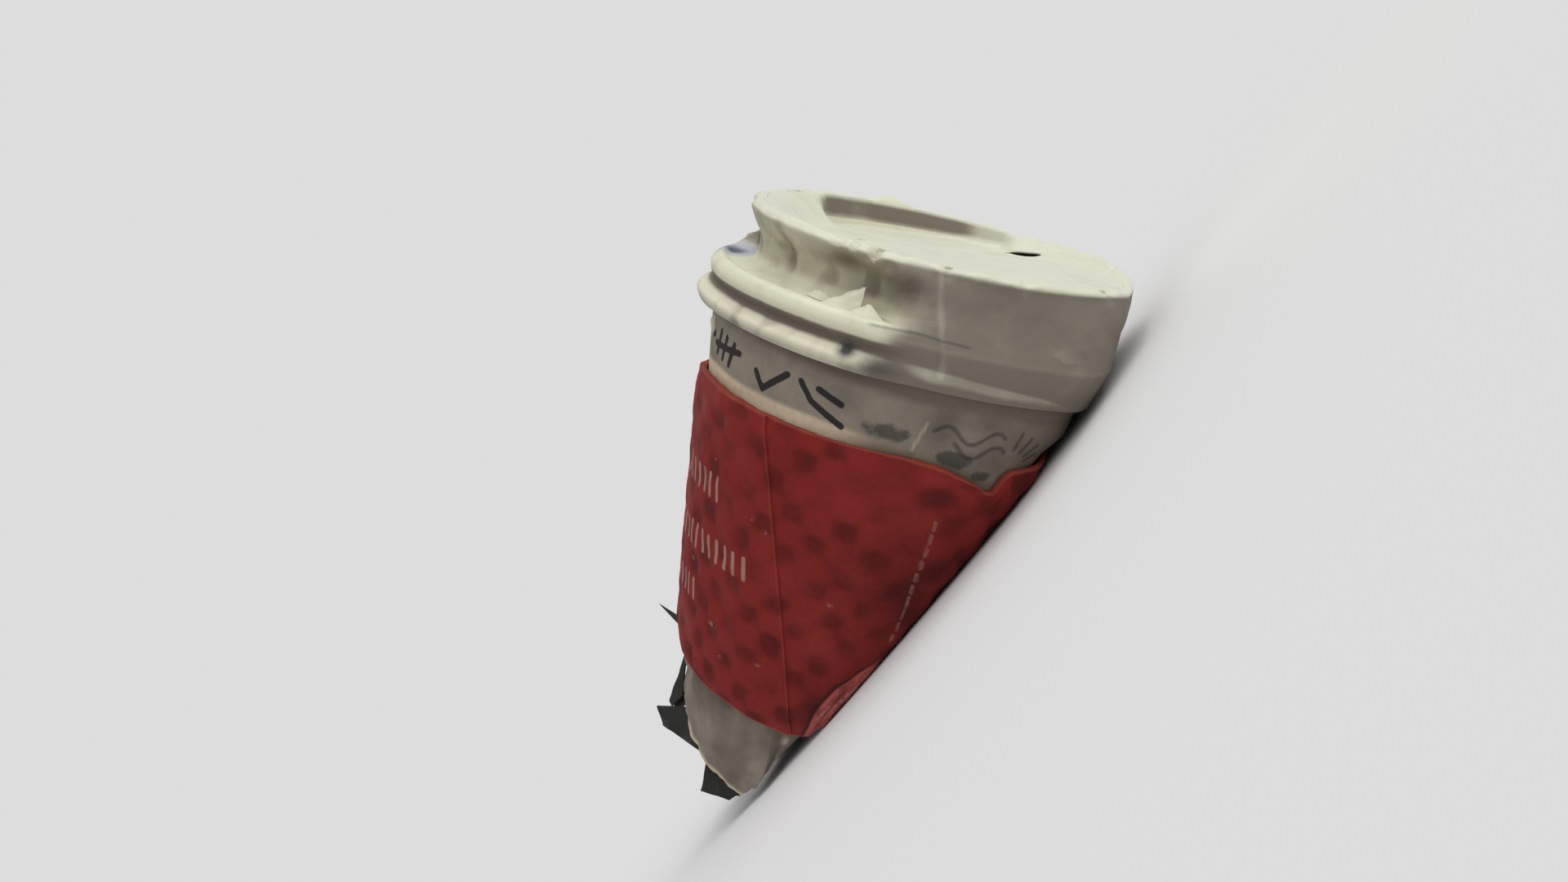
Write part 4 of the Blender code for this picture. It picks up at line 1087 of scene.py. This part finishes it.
# Painted shade on the lump that popped up: blue-grey low on it and navy at its foot, in the gap over the cup
on_lump = ramp(level, 1.0, 1.8) * fade(level, 1.6, 5.0)
blue = 1.05 * ramp(hump(ANGLES, 179.0, 26.0), 0.0, 0.4) * on_lump * on_side
marks = {"panel": on_top, "green": green, "dust_and_shade": dust_and_shade * outside, "brown": brown * on_side,
         "smudge_and_shade": smudge_and_shade * on_side, "blue": blue}
pole = np.array([0.0, 0.0, panel_plane(0.0, 0.0)])
poles = (pole, pole - (0.0, 0.0, LID_THICKNESS))
lid = ring_body("plastic_lid", rings, marks, cream_plastic, poles, inward=True, sharp=50.0)


def punch(name, centre, half_length, radii, bend):
    """A round-ended cutter that stands through the lid's panel, with a radius for each end."""
    corners = []
    for middle, first, radius in ((half_length, -90.0, radii[0]), (-half_length, 90.0, radii[1])):
        for step in range(13):
            around = radians(first + 15.0 * step)
            corners.append((middle + radius * cos(around), radius * sin(around)))
    turn = radians(bend)
    along = np.array([-sin(turn), cos(turn), 0.0])
    aside = np.array([cos(turn), sin(turn), 0.0])
    ring = np.array([along * u + aside * v for u, v in corners]) + centre
    rings = np.array([ring - (0.0, 0.0, CUTTER_REACH), ring + (0.0, 0.0, CUTTER_REACH)])
    ends = (rings[0].mean(axis=0), rings[1].mean(axis=0))
    return ring_body(name, rings, {}, cream_plastic, ends, inward=True)


slot_turn = radians(SIP_SLOT_ANGLE)
cut_level = RIM_TOP - PANEL_DROP
slot_centre = np.array([SIP_SLOT_RADIUS * cos(slot_turn), SIP_SLOT_RADIUS * sin(slot_turn), cut_level])
vent_centre = np.array([*VENT_PLACE, cut_level])
punches = [
    punch("slot_punch", slot_centre, SIP_SLOT_REACH, SIP_SLOT_ENDS, SIP_SLOT_ANGLE),
    punch("vent_punch", vent_centre, 0.01, (VENT_RADIUS, VENT_RADIUS), 0.0),
]
for tool in punches:
    cut = lid.modifiers.new(tool.name, 'BOOLEAN')
    cut.operation = 'DIFFERENCE'
    cut.solver = 'EXACT'
    cut.object = tool
work_in(lid)
for tool in punches:
    bpy.data.objects.remove(tool, do_unlink=True)

# Torn scraps of the ledge that stand up near the neck: the angles of the foot's two ends and of
# the tip, the tip's height above the ledge, and the reach of foot and tip from the axis
SCRAPS = [
    ((-107.5, -97.0), -98.0, 4.4, (41.8, 38.9)),
    ((-99.0, -90.0), -95.5, 1.9, (42.6, 40.6)),
    ((-114.0, -104.0), -111.0, 1.4, (40.4, 38.6)),
]
NO_FLAT = 99.0
flakes = []
plain = {"panel": 0.4, "green": 0.6, "dust_and_shade": 0.05, "brown": 0.0, "smudge_and_shade": 0.0, "blue": 0.0}
for number, (foot, tip_angle, tip_rise, reach) in enumerate(SCRAPS):
    steps = np.linspace(0.0, 1.0, 15)[:, None]
    spread = np.linspace(0.0, 1.0, 15)[None, :]
    foot_angle = foot[0] + (foot[1] - foot[0]) * spread
    flake_angle = foot_angle + (tip_angle - foot_angle) * 0.95 * steps
    flake_height = CURL_CENTRE + LEDGE_RISE + mouth_shift(foot_angle) - 0.4 + tip_rise * steps
    fold_line = 1.6 * np.abs(spread - 0.45) * (1.0 - 0.6 * steps)
    flake_reach = reach[0] + (reach[1] - reach[0]) * steps - fold_line
    flake_points = pressed(flake_reach, flake_angle, flake_height, NO_FLAT)
    flake_points[..., 2] += 0.5 * lumps(flake_points, 2.2, 50 + number) * np.sqrt(steps)
    flake_points[..., 1] -= 0.6 * np.abs(lumps(flake_points, 2.0, 55 + number, 1)) * steps
    flakes.append(sheet_body(f"lid_scrap_{number + 1}", flake_points, 0.3, plain, cream_plastic))

for piece in (lid, *flakes):
    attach(piece, "root")
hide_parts("lid")

# The studio
# A plain pale floor that runs to the horizon under a background of the same grey, one broad soft
# light from the lid's side and an even light from all round. The camera is low beside the cup.

FLOOR_REACH = 3.0
FLOOR_DROP = 0.0002
FLOOR_GREY = (0.845, 0.845, 0.845)
BACKGROUND = 0.723
AMBIENT = 0.50
SUN_PLACE = (0.78, -0.10, 0.62)
SUN_STRENGTH = 1.8
SUN_SPREAD = 60.0
LENS = 24.43
CAMERA_PLACE = (0.09125, -0.22047, 0.02572)
CAMERA_TURN = (97.139, 51.191, 29.134)
floor_mesh = bpy.data.meshes.new("floor")
floor_corners = [(FLOOR_REACH * x, FLOOR_REACH * y, 0.0) for x, y in ((-1, -1), (1, -1), (1, 1), (-1, 1))]
floor_mesh.from_pydata(floor_corners, [], [(0, 1, 2, 3)])
floor = placed("floor", floor_mesh)
floor.location.z = cad_box[0].z - FLOOR_DROP
floor_finish, tree, shader = new_finish("pale_floor", 0.9, 0.0)
shader.inputs["Base Color"].default_value = (*FLOOR_GREY, 1.0)
floor_mesh.materials.append(floor_finish)

world = bpy.data.worlds.new("studio")
world.use_nodes = True
bpy.context.scene.world = world
tree = world.node_tree
background = tree.nodes["Background"]
shown = add(tree, "ShaderNodeLightPath").outputs["Is Camera Ray"]
strength = add(tree, "ShaderNodeMapRange", {"Value": shown, "To Min": AMBIENT, "To Max": BACKGROUND})
background.inputs["Color"].default_value = (1.0, 1.0, 1.0, 1.0)
tree.links.new(strength.outputs["Result"], background.inputs["Strength"])

sun = bpy.data.lights.new("main_light", 'SUN')
sun.energy = SUN_STRENGTH
sun.angle = radians(SUN_SPREAD)
placed("main_light", sun).rotation_euler = Vector(SUN_PLACE).to_track_quat('Z', 'Y').to_euler()

camera_data = bpy.data.cameras.new("camera")
camera_data.sensor_width = 36.0
camera_data.lens = LENS
camera_data.clip_start = 0.01
camera_data.clip_end = 20.0
camera = placed("camera", camera_data)
camera.location = CAMERA_PLACE
camera.rotation_euler = [radians(turn) for turn in CAMERA_TURN]
bpy.context.scene.camera = camera
bpy.context.scene.view_settings.view_transform = 'Standard'
